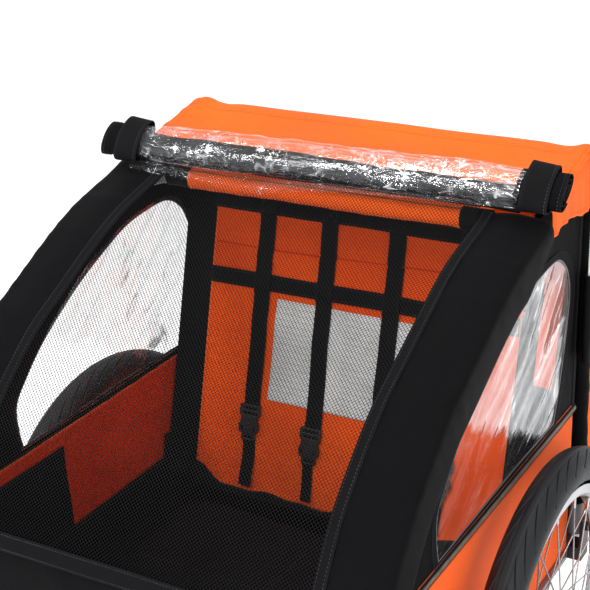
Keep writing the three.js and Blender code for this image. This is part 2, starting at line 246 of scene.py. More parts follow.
def woven(name, dark, light, pitch=0.8, weave=0.00022, crinkle=0.0012, rough=(0.62, 0.8), sheen=0.25, edge_tint=None, spec=0.35, crease_scale=9.0):
    """Coated woven polyester: plain weave with uneven threads, soft crinkles, colour drift, and lighter worn edges."""
    m = Mat(name)
    vec, u, v = m.cloth()
    k = 2 * math.pi / (pitch * MM)
    su = m.math("SINE", m.math("MULTIPLY", u, k))
    sv = m.math("SINE", m.math("MULTIPLY", v, k))
    plain = m.math("MULTIPLY", su, sv)
    o = m.obj()
    yarn = m.noise(vec, 900.0, 2.0)
    height = m.math("MULTIPLY_ADD", plain, 0.5, yarn)
    drift = m.noise(o, 5.0, 5.0, 0.6)
    fine = m.noise(o, 160.0, 3.0, 0.6)
    tone = m.math("ADD", m.math("MULTIPLY", drift, 0.7), m.math("MULTIPLY", fine, 0.3))
    tone = m.math("MULTIPLY_ADD", plain, 0.06, tone)
    col = m.ramp(tone, [(0.3, dark), (0.72, light)])
    e = m.n("ShaderNodeAttribute", attribute_name="edge").outputs["Fac"]
    worn = m.math("MULTIPLY", e, m.math("MULTIPLY", fine, 0.55), clamp=True)
    tint = edge_tint or tuple(min(1.0, c * 1.5 + 0.02) for c in light)
    col = m.mix(worn, col, tint)
    m.to("Base Color", col)
    r = m.ramp(drift, [(0.3, (rough[0],) * 3), (0.7, (rough[1],) * 3)])
    m.to("Roughness", r)
    folds = m.noise(o, crease_scale, 6.0, 0.55, 0.6)
    nrm = m.bump(folds, crinkle, 1.0)
    nrm = m.bump(height, weave, 0.8, nrm)
    m.to("Normal", nrm)
    m.to("Sheen Weight", sheen)
    m.to("Sheen Roughness", 0.5)
    m.to("Specular IOR Level", spec)
    return m.m


def webbing(name, dark, light):
    """Heavy webbing: ribs across, a fine herringbone along, and a fuzzy edge."""
    m = Mat(name)
    vec, u, v = m.cloth()
    rib = m.math("SINE", m.math("MULTIPLY", v, 2 * math.pi / 0.0017))
    zig = m.math("SINE", m.math("ADD", m.math("MULTIPLY", u, 2 * math.pi / 0.0032),
                                m.math("MULTIPLY", m.math("ABSOLUTE", rib), 1.6)))
    yarn = m.noise(vec, 1400.0, 2.0)
    h = m.math("ADD", m.math("MULTIPLY", m.math("ADD", rib, zig), 0.35), yarn)
    o = m.obj()
    drift = m.noise(o, 22.0, 4.0)
    tone = m.math("MULTIPLY_ADD", zig, 0.12, drift)
    col = m.ramp(tone, [(0.3, dark), (0.75, light)])
    e = m.n("ShaderNodeAttribute", attribute_name="edge").outputs["Fac"]
    col = m.mix(m.math("MULTIPLY", e, 0.35, clamp=True), col, tuple(min(1, c * 2 + 0.01) for c in light))
    m.to("Base Color", col)
    m.to("Roughness", m.ramp(drift, [(0.3, (0.6,) * 3), (0.7, (0.78,) * 3)]))
    m.to("Normal", m.bump(h, 0.0003, 0.9))
    m.to("Sheen Weight", 0.0)
    m.to("Specular IOR Level", 0.08)
    return m.m


def paint(name, dark, light, rough, metal, grain=0.00005, scratch=0.25, coat=0.0, spec=0.5):
    """Metal finish: faint orange peel, fine scratches and dulled patches."""
    m = Mat(name)
    o = m.obj()
    big = m.noise(o, 7.0, 5.0, 0.6)
    fine = m.noise(o, 420.0, 3.0, 0.6)
    st = m.nt.nodes.new("ShaderNodeMapping")
    m.link(o, st.inputs["Vector"])
    st.inputs["Scale"].default_value = (300, 14, 300)
    lines = m.noise(st.outputs["Vector"], 3.0, 4.0, 0.7)
    tone = m.math("ADD", m.math("MULTIPLY", big, 0.6), m.math("MULTIPLY", lines, 0.4))
    m.to("Base Color", m.ramp(tone, [(0.32, dark), (0.68, light)]))
    rr = m.math("ADD", m.math("MULTIPLY", lines, scratch), m.math("MULTIPLY", big, 0.12))
    m.to("Roughness", m.math("ADD", rr, rough - (scratch + 0.12) * 0.5, clamp=True))
    m.to("Metallic", metal)
    m.to("Specular IOR Level", spec)
    m.to("Coat Weight", coat)
    m.to("Normal", m.bump(m.math("ADD", fine, m.math("MULTIPLY", lines, 0.5)), grain, 0.6))
    return m.m


def plastic(name, dark, light, rough=0.42, grain=0.00012, scale=900.0, spec=0.5):
    """Moulded plastic: fine spark-eroded grain and slight gloss variation."""
    m = Mat(name)
    o = m.obj()
    big = m.noise(o, 18.0, 4.0, 0.6)
    g = m.noise(o, scale, 3.0, 0.6)
    m.to("Base Color", m.ramp(m.math("ADD", m.math("MULTIPLY", big, 0.7), m.math("MULTIPLY", g, 0.3)), [(0.3, dark), (0.7, light)]))
    m.to("Roughness", m.ramp(big, [(0.3, (rough - 0.06,) * 3), (0.7, (rough + 0.1,) * 3)]))
    m.to("Normal", m.bump(g, grain, 0.8))
    m.to("Specular IOR Level", spec)
    return m.m


def vinyl(name, tint, haze, rough, ripple=0.0016, ripple_scale=14.0, stretch=(1, 1, 1), turn=(0, 0, 0), base=0.03, clear_to=None, metal=0.8, lines=0.5, line_scale=1.2):
    """Clear PVC film: lets light through, mirrors the lamps along its ripples, with a faint haze, rub marks and painted
    highlight lines.
    """
    m = Mat(name)
    nt = m.nt
    o = m.obj()
    mp = nt.nodes.new("ShaderNodeMapping")
    m.link(o, mp.inputs["Vector"])
    mp.vector_type = "TEXTURE"
    mp.inputs["Rotation"].default_value = turn
    mp.inputs["Scale"].default_value = stretch
    rip = m.noise(mp.outputs["Vector"], ripple_scale, 4.0, 0.5, 0.8)
    small = m.noise(mp.outputs["Vector"], ripple_scale * 5, 3.0, 0.5, 0.4)
    nrm = m.bump(m.math("ADD", rip, m.math("MULTIPLY", small, 0.12)), ripple, 1.0)
    rub = m.noise(o, 55.0, 6.0, 0.7, 0.3)
    m.b.inputs["Base Color"].default_value = (*tint, 1)
    m.to("Roughness", rough)
    m.to("Specular IOR Level", 1.0)
    m.link(nrm, m.b.inputs["Normal"])
    lw = nt.nodes.new("ShaderNodeLayerWeight")
    lw.inputs["Blend"].default_value = 0.5
    m.link(nrm, lw.inputs["Normal"])
    graze = m.math("MULTIPLY_ADD", m.math("POWER", lw.outputs["Facing"], 4.0), 0.8, base)
    hz = m.math("MULTIPLY_ADD", m.math("POWER", rub, 3.0), haze * 2.2, haze * 0.5)
    # painted highlights: thin bright curved lines laid into the film's alpha, only in patches
    web_ = m.noise(mp.outputs["Vector"], ripple_scale * line_scale, 2.0, 0.5, 1.6)
    ridge = m.math("POWER", m.math("SUBTRACT", 1.0, m.math("ABSOLUTE", m.math("MULTIPLY_ADD", web_, 2.0, -1.0))), 46.0)
    where = m.math("MULTIPLY", m.math("SUBTRACT", m.noise(o, 17.0, 3.0, 0.6, 0.4), 0.47), 9.0, clamp=True)
    ridge = m.math("MULTIPLY", m.math("MULTIPLY", ridge, where), lines, clamp=True)
    alpha = m.math("ADD", m.math("ADD", hz, graze), ridge, clamp=True)
    if clear_to:
        # below a ragged line the film is much clearer and shows what is behind it
        z = nt.nodes.new("ShaderNodeSeparateXYZ")
        m.link(o, z.inputs[0])
        line = m.math("MULTIPLY_ADD", z.outputs[1], clear_to[1], clear_to[0])
        rag = m.math("MULTIPLY", m.math("SUBTRACT", m.noise(o, 26.0, 5.0, 0.65, 0.6), 0.5), 0.09)
        above = m.math("MULTIPLY", m.math("ADD", m.math("SUBTRACT", z.outputs[2], line), rag), 60.0, clamp=True)
        alpha = m.math("MULTIPLY", alpha, m.math("MULTIPLY_ADD", above, 0.87, 0.13), clamp=True)
    m.to("Metallic", metal)
    m.link(alpha, m.b.inputs["Alpha"])
    return m.m


ORANGE_D, ORANGE_L = lin(236, 84, 8), lin(250, 102, 18)
MATS = {}


def build_materials():
    M_ = MATS
    M_["orange"] = woven("orange_polyester", ORANGE_D, ORANGE_L, 0.8, 0.0002, 0.0016, (0.6, 0.78), 0.03, lin(255, 140, 80), 0.16)
    M_["orange_in"] = woven("orange_inner", lin(230, 74, 8), lin(250, 94, 16), 0.8, 0.0002, 0.002, (0.65, 0.82), 0.02, lin(250, 130, 70), 0.12)
    M_["black"] = woven("black_polyester", lin(3, 3, 4), lin(11, 11, 13), 0.8, 0.00024, 0.0016, (0.60, 0.76), 0.0, lin(36, 36, 40), 0.06)
    M_["black_in"] = woven("black_lining", lin(7, 7, 8), lin(15, 15, 17), 0.9, 0.0002, 0.002, (0.72, 0.88), 0.0, lin(32, 32, 34), 0.08)
    # painted shade: a darker red copy of the orange cloth, for inner faces and a crease that lie in shade
    M_["orange_side"] = woven("orange_painted_shade_lining", lin(196, 44, 6), lin(222, 62, 12), 0.8, 0.0002, 0.002, (0.65, 0.82), 0.0, lin(240, 110, 60), 0.1)
    M_["binding"] = woven("black_binding", lin(5, 5, 6), lin(14, 14, 16), 1.4, 0.0003, 0.0004, (0.6, 0.75), 0.0, lin(34, 34, 36), 0.07)
    M_["web"] = webbing("webbing_black", lin(5, 5, 6), lin(16, 16, 18))
    M_["net"] = plastic("net_yarn", lin(3, 3, 4), lin(13, 13, 15), 0.55, 0.00015, 1500.0, 0.1)
    M_["thread"] = webbing("thread_grey", lin(48, 48, 52), lin(78, 78, 82))
    M_["thread_o"] = webbing("thread_orange", lin(205, 70, 20), lin(250, 120, 60))
    M_["steel"] = paint("grey_powder_coat", lin(122, 125, 124), lin(150, 153, 152), 0.42, 0.15, 0.00012, 0.2, 0.15)
    M_["zinc"] = paint("zinc_plate", lin(168, 170, 172), lin(205, 207, 210), 0.32, 0.9, 0.00006, 0.25)
    M_["alloy"] = paint("rim_alloy", lin(150, 152, 155), lin(196, 198, 201), 0.26, 0.95, 0.00004, 0.2)
    M_["spoke"] = paint("spoke_steel", lin(140, 142, 145), lin(190, 192, 195), 0.22, 0.95, 0.00003, 0.15)
    M_["plastic"] = plastic("black_plastic", lin(16, 16, 18), lin(30, 30, 33))
    M_["white"] = plastic("white_fibreglass", lin(224, 224, 220), lin(244, 244, 241), 0.4, 0.00006)
    M_["pane"] = vinyl("window_vinyl", (0.95, 0.96, 0.97), 0.19, 0.06, 0.0042, 9.0, (1.0, 2.6, 0.6), (0.66, 0, 0), 0.04, (0.724, -0.54), 0.72, 0.55, 0.9)
    M_["roll"] = vinyl("rolled_vinyl", (0.97, 0.98, 0.99), 0.02, 0.035, 0.009, 24.0, (1.5, 0.9, 0.9), (0, 0, 0), 0.016, None, 0.9, 1.0, 1.5)
    M_["weld"] = plastic("welded_rim", lin(58, 60, 62), lin(84, 86, 90), 0.3, 0.0001)

    # reflective piping: brownish grey glass-bead tape
    m = Mat("reflective_piping")
    vec, u, v = m.cloth()
    k = m.math("SINE", m.math("MULTIPLY", u, 2 * math.pi / 0.0022))
    n1 = m.noise(m.obj(), 60.0, 4.0)
    m.to("Base Color", m.ramp(m.math("MULTIPLY_ADD", k, 0.1, n1), [(0.3, lin(78, 66, 58)), (0.7, lin(120, 106, 95))]))
    m.to("Roughness", 0.42)
    m.to("Metallic", 0.35)
    m.to("Normal", m.bump(m.math("ADD", k, m.noise(m.obj(), 1200.0)), 0.00025, 0.8))
    M_["piping"] = m.m

    # woven label, left blank but for faint ruled lines
    m = Mat("label_white")
    vec, u, v = m.cloth()
    kk = 2 * math.pi / 0.0006
    pl = m.math("MULTIPLY", m.math("SINE", m.math("MULTIPLY", u, kk)), m.math("SINE", m.math("MULTIPLY", v, kk)))
    n2 = m.noise(m.obj(), 12.0, 5.0)
    base = m.ramp(m.math("MULTIPLY_ADD", pl, 0.04, n2), [(0.3, lin(214, 214, 212)), (0.7, lin(240, 240, 238))])
    rule = m.math("GREATER_THAN", m.math("SINE", m.math("MULTIPLY", v, 2 * math.pi / 0.0085)), 0.55)
    col = m.math("PINGPONG", m.math("ADD", u, 0.03), 0.063)
    inside = m.math("GREATER_THAN", col, 0.012)
    fade = m.math("MULTIPLY", m.math("MULTIPLY", rule, inside), m.math("MULTIPLY_ADD", m.noise(vec, 420.0, 2.0), 0.5, 0.15))
    m.to("Base Color", m.mix(m.math("MULTIPLY", fade, 0.55, clamp=True), base, lin(168, 168, 172)))
    m.to("Roughness", 0.7)
    m.to("Normal", m.bump(m.math("ADD", pl, n2), 0.0003, 0.6))
    M_["label"] = m.m

    # tyre rubber: dull, greyer where the tread is rubbed, with painted shade darkening the grooves
    m = Mat("tyre_rubber")
    o = m.obj()
    g = m.n("ShaderNodeAttribute", attribute_name="groove").outputs["Fac"]
    a = m.noise(o, 9.0, 5.0, 0.6)
    s = m.noise(o, 500.0, 3.0, 0.6)
    top = m.ramp(m.math("ADD", m.math("MULTIPLY", a, 0.6), m.math("MULTIPLY", s, 0.4)), [(0.3, lin(8, 9, 11)), (0.7, lin(20, 22, 26))])
    # painted shade: the grooves are mixed towards near black
    m.to("Base Color", m.mix(m.math("MULTIPLY", g, 0.95, clamp=True), top, lin(4, 4, 5)))
    m.to("Roughness", m.ramp(a, [(0.3, (0.42,) * 3), (0.7, (0.6,) * 3)]))
    m.to("Specular IOR Level", 0.3)
    m.to("Normal", m.bump(m.math("ADD", s, m.math("MULTIPLY", a, 0.5)), 0.0003, 0.7))
    M_["tyre"] = m.m


build_materials()


# ------------------------------------------------------------------ mesh helpers
def finish_mesh(o, mats, smooth=True):
    for m in (mats if isinstance(mats, (list, tuple)) else [mats]):
        o.data.materials.append(MATS[m] if isinstance(m, str) else m)
    if smooth:
        o.data.polygons.foreach_set("use_smooth", [True] * len(o.data.polygons))
    o.data.update()
    return o


def mesh(name, verts, faces, mats, smooth=True, cloth=None, edge=None, groove=None, midx=None):
    """verts in millimetres with Y from the axle."""
    me = bpy.data.meshes.new(name)
    me.from_pydata(W(verts).tolist(), [], [list(map(int, f)) for f in faces])
    me.update()
    o = bpy.data.objects.new(name, me)
    bpy.context.scene.collection.objects.link(o)
    n = len(me.vertices)
    if cloth is None:
        v = np.asarray(verts, float)
        cloth = np.column_stack([v[:, 0], v[:, 1] + v[:, 2], v[:, 2]])
    a = me.attributes.new("cloth", "FLOAT_VECTOR", "POINT")
    a.data.foreach_set("vector", (np.asarray(cloth, float).reshape(-1, 3) * MM).astype(np.float32).ravel())
    a = me.attributes.new("edge", "FLOAT", "POINT")
    a.data.foreach_set("value", np.zeros(n, np.float32) if edge is None else np.asarray(edge, np.float32).ravel())
    if groove is not None:
        a = me.attributes.new("groove", "FLOAT", "POINT")
        a.data.foreach_set("value", np.asarray(groove, np.float32).ravel())
    if midx is not None:
        me.polygons.foreach_set("material_index", np.asarray(midx, np.int32).ravel())
    return finish_mesh(o, mats, smooth)


def grid_faces(nu, nv, cu=False, cv=False):
    i, j = np.meshgrid(np.arange(nu if cu else nu - 1), np.arange(nv if cv else nv - 1), indexing="ij")
    i, j = i.ravel(), j.ravel()
    i2, j2 = (i + 1) % nu, (j + 1) % nv
    return np.column_stack([i * nv + j, i2 * nv + j, i2 * nv + j2, i * nv + j2])


def arc(P, axis):
    d = np.linalg.norm(np.diff(P, axis=axis), axis=2)
    c = np.concatenate([np.zeros_like(np.take(d, [0], axis)), np.cumsum(d, axis=axis)], axis=axis)
    return c


def grid(name, P, mats, cu=False, cv=False, thick=0.0, offset=0.0, edge_mm=4.0, sub=0, midx=None, keep=None):
    """A sheet over an (nu, nv, 3) lattice of points, its cloth coordinates running along both directions."""
    nu, nv = P.shape[:2]
    U, V_ = arc(P, 0), arc(P, 1)
    U = U - U.mean(axis=0, keepdims=True)
    V_ = V_ - V_.mean(axis=1, keepdims=True)
    cloth = np.stack([U, V_, np.zeros_like(U)], axis=2)
    e = np.zeros((nu, nv))
    if not cu:
        e = np.maximum(e, np.clip(1 - (U - U.min(0)) / edge_mm, 0, 1))
        e = np.maximum(e, np.clip(1 - (U.max(0) - U) / edge_mm, 0, 1))
    if not cv:
        e = np.maximum(e, np.clip(1 - (V_ - V_.min(1, keepdims=True)) / edge_mm, 0, 1))
        e = np.maximum(e, np.clip(1 - (V_.max(1, keepdims=True) - V_) / edge_mm, 0, 1))
    f = grid_faces(nu, nv, cu, cv)
    if keep is not None:
        f = f[keep(P.reshape(-1, 3)[f].mean(axis=1))]
    o = mesh(name, P.reshape(-1, 3), f, mats, cloth=cloth.reshape(-1, 3), edge=e, midx=midx)
    if keep is not None:
        drop_loose(o)
    if thick:
        solid(o, thick, offset)
    if sub:
        s = o.modifiers.new("sub", "SUBSURF")
        s.levels = s.render_levels = sub
    return o


def drop_loose(o):
    bm = bmesh.new()
    bm.from_mesh(o.data)
    bmesh.ops.delete(bm, geom=[v for v in bm.verts if not v.link_faces], context="VERTS")
    bm.to_mesh(o.data)
    bm.free()


def solid(o, thick, offset=0.0):
    s = o.modifiers.new("thick", "SOLIDIFY")
    s.thickness, s.offset = thick * MM, offset
    s.use_even_offset = False
    return o


def smooth_line(pts, n, closed=False):
    """Points along a Catmull-Rom curve, evenly spaced by arc length."""
    p = np.asarray(pts, float)
    if closed:
        q = np.vstack([p[-1], p, p[0], p[1]])
    else:
        q = np.vstack([2 * p[0] - p[1], p, 2 * p[-1] - p[-2]])
    out = []
    for i in range(1, len(q) - 2):
        a, b, c, d = q[i - 1], q[i], q[i + 1], q[i + 2]
        t = np.linspace(0, 1, 24, endpoint=False)[:, None]
        out.append(0.5 * ((2 * b) + (-a + c) * t + (2 * a - 5 * b + 4 * c - d) * t ** 2 + (-a + 3 * b - 3 * c + d) * t ** 3))
    out = np.vstack(out + ([q[1:2]] if closed else [q[-2:-1]]))
    return resample(out, n)


def resample(p, n):
    d = np.concatenate([[0], np.cumsum(np.linalg.norm(np.diff(p, axis=0), axis=1))])
    s = np.linspace(0, d[-1], n)
    return np.column_stack([np.interp(s, d, p[:, k]) for k in range(p.shape[1])])


def frames(path, up=(0, 0, 1)):
    """Tangent, side and normal along a path, the side taken across the given up direction and carried along."""
    t = np.gradient(path, axis=0)
    ln = np.linalg.norm(t, axis=1)
    for i in np.where(ln < 1e-9)[0]:
        t[i] = t[i - 1] if i else path[2] - path[0]
    t /= np.maximum(np.linalg.norm(t, axis=1, keepdims=True), 1e-9)
    up = np.array(up, float)
    side = np.cross(t[0], up)
    if np.linalg.norm(side) < 1e-6:
        side = np.cross(t[0], (1.0, 0, 0))
    side /= np.linalg.norm(side)
    S = [side]
    for i in range(1, len(path)):
        s = S[-1] - t[i] * (S[-1] @ t[i])
        S.append(s / np.linalg.norm(s))
    S = np.array(S)
    return t, S, np.cross(S, t)


def sweep(name, path, section, mats, closed_section=True, caps=True, up=(0, 0, 1), scale=None, edge=None):
    """A section of (side, normal) points carried along a path."""
    path = np.asarray(path, float)
    sec = np.asarray(section, float)
    t, S, N = frames(path, up)
    k = np.ones(len(path)) if scale is None else np.asarray(scale, float)
    P = path[:, None, :] + (S[:, None, :] * sec[None, :, 0:1] + N[:, None, :] * sec[None, :, 1:2]) * k[:, None, None]
    nu, nv = P.shape[:2]
    f = [list(x) for x in grid_faces(nu, nv, False, closed_section)]
    if closed_section and caps:
        f.append(list(range(nv))[::-1])
        f.append([(nu - 1) * nv + j for j in range(nv)])
    U = np.repeat(arc(P, 0)[:, :1], nv, axis=1)
    V_ = arc(P, 1)
    cloth = np.stack([V_, U, np.zeros_like(U)], axis=2)
    e = np.zeros((nu, nv)) if edge is None else np.broadcast_to(edge, (nu, nv))
    return mesh(name, P.reshape(-1, 3), f, mats, cloth=cloth.reshape(-1, 3), edge=e)


def circle(r, n, a0=0.0):
    a = np.linspace(0, 2 * math.pi, n, endpoint=False) + a0
    return np.column_stack([r * np.cos(a), r * np.sin(a)])


def strip_section(w, t, n=6):
    """A flat strip of width w and thickness t with rounded selvedges."""
    a = np.linspace(-math.pi / 2, math.pi / 2, 5)
    right = np.column_stack([w / 2 - t / 2 + t / 2 * np.cos(a), t / 2 * np.sin(a)])
    left = np.column_stack([-w / 2 + t / 2 - t / 2 * np.cos(a), -t / 2 * np.sin(a)])
    top = np.column_stack([np.linspace(w / 2 - t / 2, -w / 2 + t / 2, n + 2)[1:-1], np.full(n, t / 2)])
    bot = np.column_stack([np.linspace(-w / 2 + t / 2, w / 2 - t / 2, n + 2)[1:-1], np.full(n, -t / 2)])
    return np.vstack([right, top, left, bot])


def strap(name, path, w, t, mats="web", up=(0, -0.9684, 0.2493)):
    sec = strip_section(w, t)
    e = np.clip((np.abs(sec[:, 0]) - (w / 2 - 1.6)) / 1.2, 0, 1)
    return sweep(name, path, sec, mats, up=up, edge=e)


def waves(seed, count, low, high):
    """A fixed set of plane waves in three dimensions, for folds and dents."""
    r = np.random.RandomState(seed)
    d = r.normal(size=(count, 3))
    d /= np.linalg.norm(d, axis=1, keepdims=True)
    f = np.exp(r.uniform(math.log(low), math.log(high), count))
    return d * (2 * math.pi / f)[:, None], r.uniform(0, 2 * math.pi, count), f


def ripple(P, seed, count=14, low=40, high=220, power=0.8):
    """Smooth uneven height about -1..1 at each point; wavelengths in millimetres."""
    k, ph, f = waves(seed, count, low, high)
    q = np.asarray(P, float).reshape(-1, 3)
    a = (f / f.max()) ** power
    h = (np.sin(q @ k.T + ph) * a).sum(axis=1) / math.sqrt((a ** 2).sum())
    return (h * 0.7).reshape(np.asarray(P).shape[:-1])


def creases(P, seed, direction, wavelength, sharp=3.0, vary=90.0):
    """Long narrow folds lying across a direction."""
    d = np.array(direction, float)
    d /= np.linalg.norm(d)
    q = np.asarray(P, float)
    phase = (q @ d) * 2 * math.pi / wavelength + 2.2 * ripple(q, seed, 8, vary, vary * 3)
    s = 0.5 + 0.5 * np.sin(phase)
    return s ** sharp * (0.5 + 0.5 * np.clip(ripple(q, seed + 7, 8, vary * 1.2, vary * 4) + 0.3, 0, 1))


def stitches(name, path, normal, step=4.2, length=2.8, width=0.8, lift=0.35, mats="thread"):
    """A row of lockstitches along a path; normal is one direction or one per path point."""
    path = np.asarray(path, float)
    total = np.linalg.norm(np.diff(path, axis=0), axis=1).sum()
    n = max(2, int(total / step))
    d = np.concatenate([[0], np.cumsum(np.linalg.norm(np.diff(path, axis=0), axis=1))])
    s = (np.arange(n) + 0.5) * total / n
    p = np.column_stack([np.interp(s, d, path[:, k]) for k in range(3)])
    q = np.column_stack([np.interp(s + 0.5, d, path[:, k]) for k in range(3)])
    t = q - np.column_stack([np.interp(s - 0.5, d, path[:, k]) for k in range(3)])
    t /= np.maximum(np.linalg.norm(t, axis=1, keepdims=True), 1e-9)
    nn = np.asarray(normal, float)
    if nn.ndim == 1:
        nn = np.tile(nn, (n, 1))
    else:
        nn = np.column_stack([np.interp(s, d, nn[:, k]) for k in range(3)])
    nn = nn - t * (nn * t).sum(1, keepdims=True)
    nn /= np.maximum(np.linalg.norm(nn, axis=1, keepdims=True), 1e-9)
    b = np.cross(t, nn)
    ring = [(-0.5, 0, -0.4), (-0.28, 0.5, 0.1), (-0.28, 0, 0.8), (-0.28, -0.5, 0.1), (0.28, 0.5, 0.1), (0.28, 0, 0.8), (0.28, -0.5, 0.1), (0.5, 0, -0.4)]
    V_ = np.stack([p + t * length * a + b * width * w + nn * lift * h for a, w, h in ring], axis=1)
    F = []
    base = [(0, 2, 1), (0, 3, 2), (0, 1, 3), (1, 2, 5, 4), (2, 3, 6, 5), (3, 1, 4, 6), (7, 4, 5), (7, 5, 6), (7, 6, 4)]
    for i in range(n):
        F += [tuple(8 * i + x for x in f) for f in base]
    return mesh(name, V_.reshape(-1, 3), F, mats)


def join(name, objs):
    """One object from several, each keeping its own materials."""
    for o in objs:
        for m in list(o.modifiers):
            with bpy.context.temp_override(object=o, active_object=o, selected_objects=[o]):
                bpy.ops.object.modifier_apply(modifier=m.name)
    with bpy.context.temp_override(active_object=objs[0], selected_editable_objects=objs, selected_objects=objs, object=objs[0]):
        bpy.ops.object.join()
    objs[0].name = name
    objs[0].data.name = name
    return objs[0]


def mirror(o, name):
    """A copy on the other side, as a mesh of its own."""
    me = o.data.copy()
    c = np.zeros(len(me.vertices) * 3, np.float32)
    me.vertices.foreach_get("co", c)
    c = c.reshape(-1, 3)
    c[:, 0] *= -1
    me.vertices.foreach_set("co", c.ravel())
    me.flip_normals()
    me.name = name
    p = bpy.data.objects.new(name, me)
    bpy.context.scene.collection.objects.link(p)
    for m in o.modifiers:
        q = p.modifiers.new(m.name, m.type)
        for prop in ("thickness", "offset", "use_even_offset", "levels", "render_levels", "width", "segments", "limit_method", "angle_limit"):
            if hasattr(m, prop):
                try:
                    setattr(q, prop, getattr(m, prop))
                except AttributeError:
                    pass
    return p


def rounded(corners, radius, steps=12):
    """Corner points to a path with round bends."""
    P = [np.array(c, float) for c in corners]
    out = [P[0]]
    for i in range(1, len(P) - 1):
        a, b = P[i - 1] - P[i], P[i + 1] - P[i]
        la, lb = np.linalg.norm(a), np.linalg.norm(b)
        a, b = a / la, b / lb
        ang = math.acos(max(-1, min(1, float(a @ b))))
        if math.pi - ang < 0.5:
            out.append(P[i])
            continue
        d = min(radius / math.tan(ang / 2), la * 0.48, lb * 0.48)
        r = d * math.tan(ang / 2)
        m = (a + b) / np.linalg.norm(a + b)
        c = P[i] + m * r / math.sin(ang / 2)
        s, e = P[i] + a * d - c, P[i] + b * d - c
        ax = np.cross(s, e)
        ax /= np.linalg.norm(ax)
        tot = math.acos(max(-1, min(1, float(s @ e) / (np.linalg.norm(s) * np.linalg.norm(e)))))
        for k in range(steps + 1):
            t = tot * k / steps
            out.append(c + s * math.cos(t) + np.cross(ax, s) * math.sin(t))
    out.append(P[-1])
    return np.array(out)


# ------------------------------------------------------------------ the frame's dimensions, as the CAD has them
WHEEL_R, WHEEL_X, TYRE_R = 250.0, 333.0, 23.0
RAIL_X, RAIL_Z = 268.0, 240.0
MAIN_X, MAIN_PIVOT, MAIN_TOP, TUBE_R = 283.0, (238.0, 280.0), (216.0, 811.0), 11.0
FRONT_X, FRONT_PIVOT, FRONT_BAR = 258.0, (-387.0, 275.0), (46.0, 775.0)
PANEL_X = 283.0
PIPING_Z = 477.0
SEAT_FOOT, SEAT_DIR, SEAT_HALF = (62.0, 310.0), (0.2493, 0.9684), 232.0
STRAP_X = (-148.0, -50.0, 50.0, 148.0)
SURFACE = [(36, 789), (6, 779), (-30, 770), (-74, 757), (-126, 734), (-200, 695), (-250, 668), (-304, 625), (-340, 590),
           (-362, 561), (-384, 526), (-403, 485), (-413, 445), (-414, 390), (-410, 330), (-406, 292)]
WINDOW = [(128, 484), (142, 518), (158, 574), (168, 625), (170, 659), (154, 693), (118, 716), (60, 716), (14, 709),
          (-31, 693), (-81, 671), (-128, 643), (-178, 608), (-214, 574), (-237, 545), (-238, 510), (-233, 484)]

SURF = smooth_line(SURFACE, 141)


def front(line, d):
    """The front surface's line moved inward by d, one value or one per point."""
    t = np.gradient(line, axis=0)
    t /= np.linalg.norm(t, axis=1, keepdims=True)
    d = np.broadcast_to(d, (len(line),)).reshape(-1, 1) if np.ndim(d) else d
    return line + np.column_stack([-t[:, 1], t[:, 0]]) * d


def yz(x, line):
    line = np.asarray(line, float)
    return np.column_stack([np.full(len(line), float(x)), line])


def on_seat(x, h, d):
    """A point on the seat back: h along it from its foot, d in front of its face."""
    x, h, d = np.broadcast_arrays(np.asarray(x, float), h, d)
    return np.stack([x, SEAT_FOOT[0] + SEAT_DIR[0] * h - SEAT_DIR[1] * d, SEAT_FOOT[1] + SEAT_DIR[1] * h + SEAT_DIR[0] * d], axis=-1)


def fold_down(o):
    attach(o, "base_frame")
    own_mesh(o)
    return o


def bend_back(o):
    """Seat back pieces stand on the base; their placement is baked into the mesh."""
    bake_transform(o)
    return o


# ------------------------------------------------------------------ kept CAD nodes
def kept_nodes():
    def dress(node, material, width=0.6, angle=32):
        o = frame["nodes"][node]
        if not o.data.materials:
            o.data.materials.append(None)
        for s in o.material_slots:
            s.link = "OBJECT"
            s.material = MATS[material]
        b = o.modifiers.new("soft_edges", "BEVEL")
        b.width, b.segments, b.limit_method, b.angle_limit = width * MM, 2, "ANGLE", math.radians(angle)
        b.harden_normals = False

    for n in ("side_rail_left", "side_rail_right", "cross_tube_front", "cross_tube_axle", "cross_tube_rear"):
        dress(n, "steel", 1.6)
    for n in ("axle_bracket_left", "axle_bracket_right", "nose_bracket_left", "nose_bracket_right", "drawbar_clevis", "hitch_clamp", "hitch_pin"):
        dress(n, "zinc", 0.5)
    for n in ("hoop_bracket_left", "hoop_bracket_right", "hitch_coupler", "axle_button_left", "axle_button_right"):
        dress(n, "plastic", 0.8)


kept_nodes()


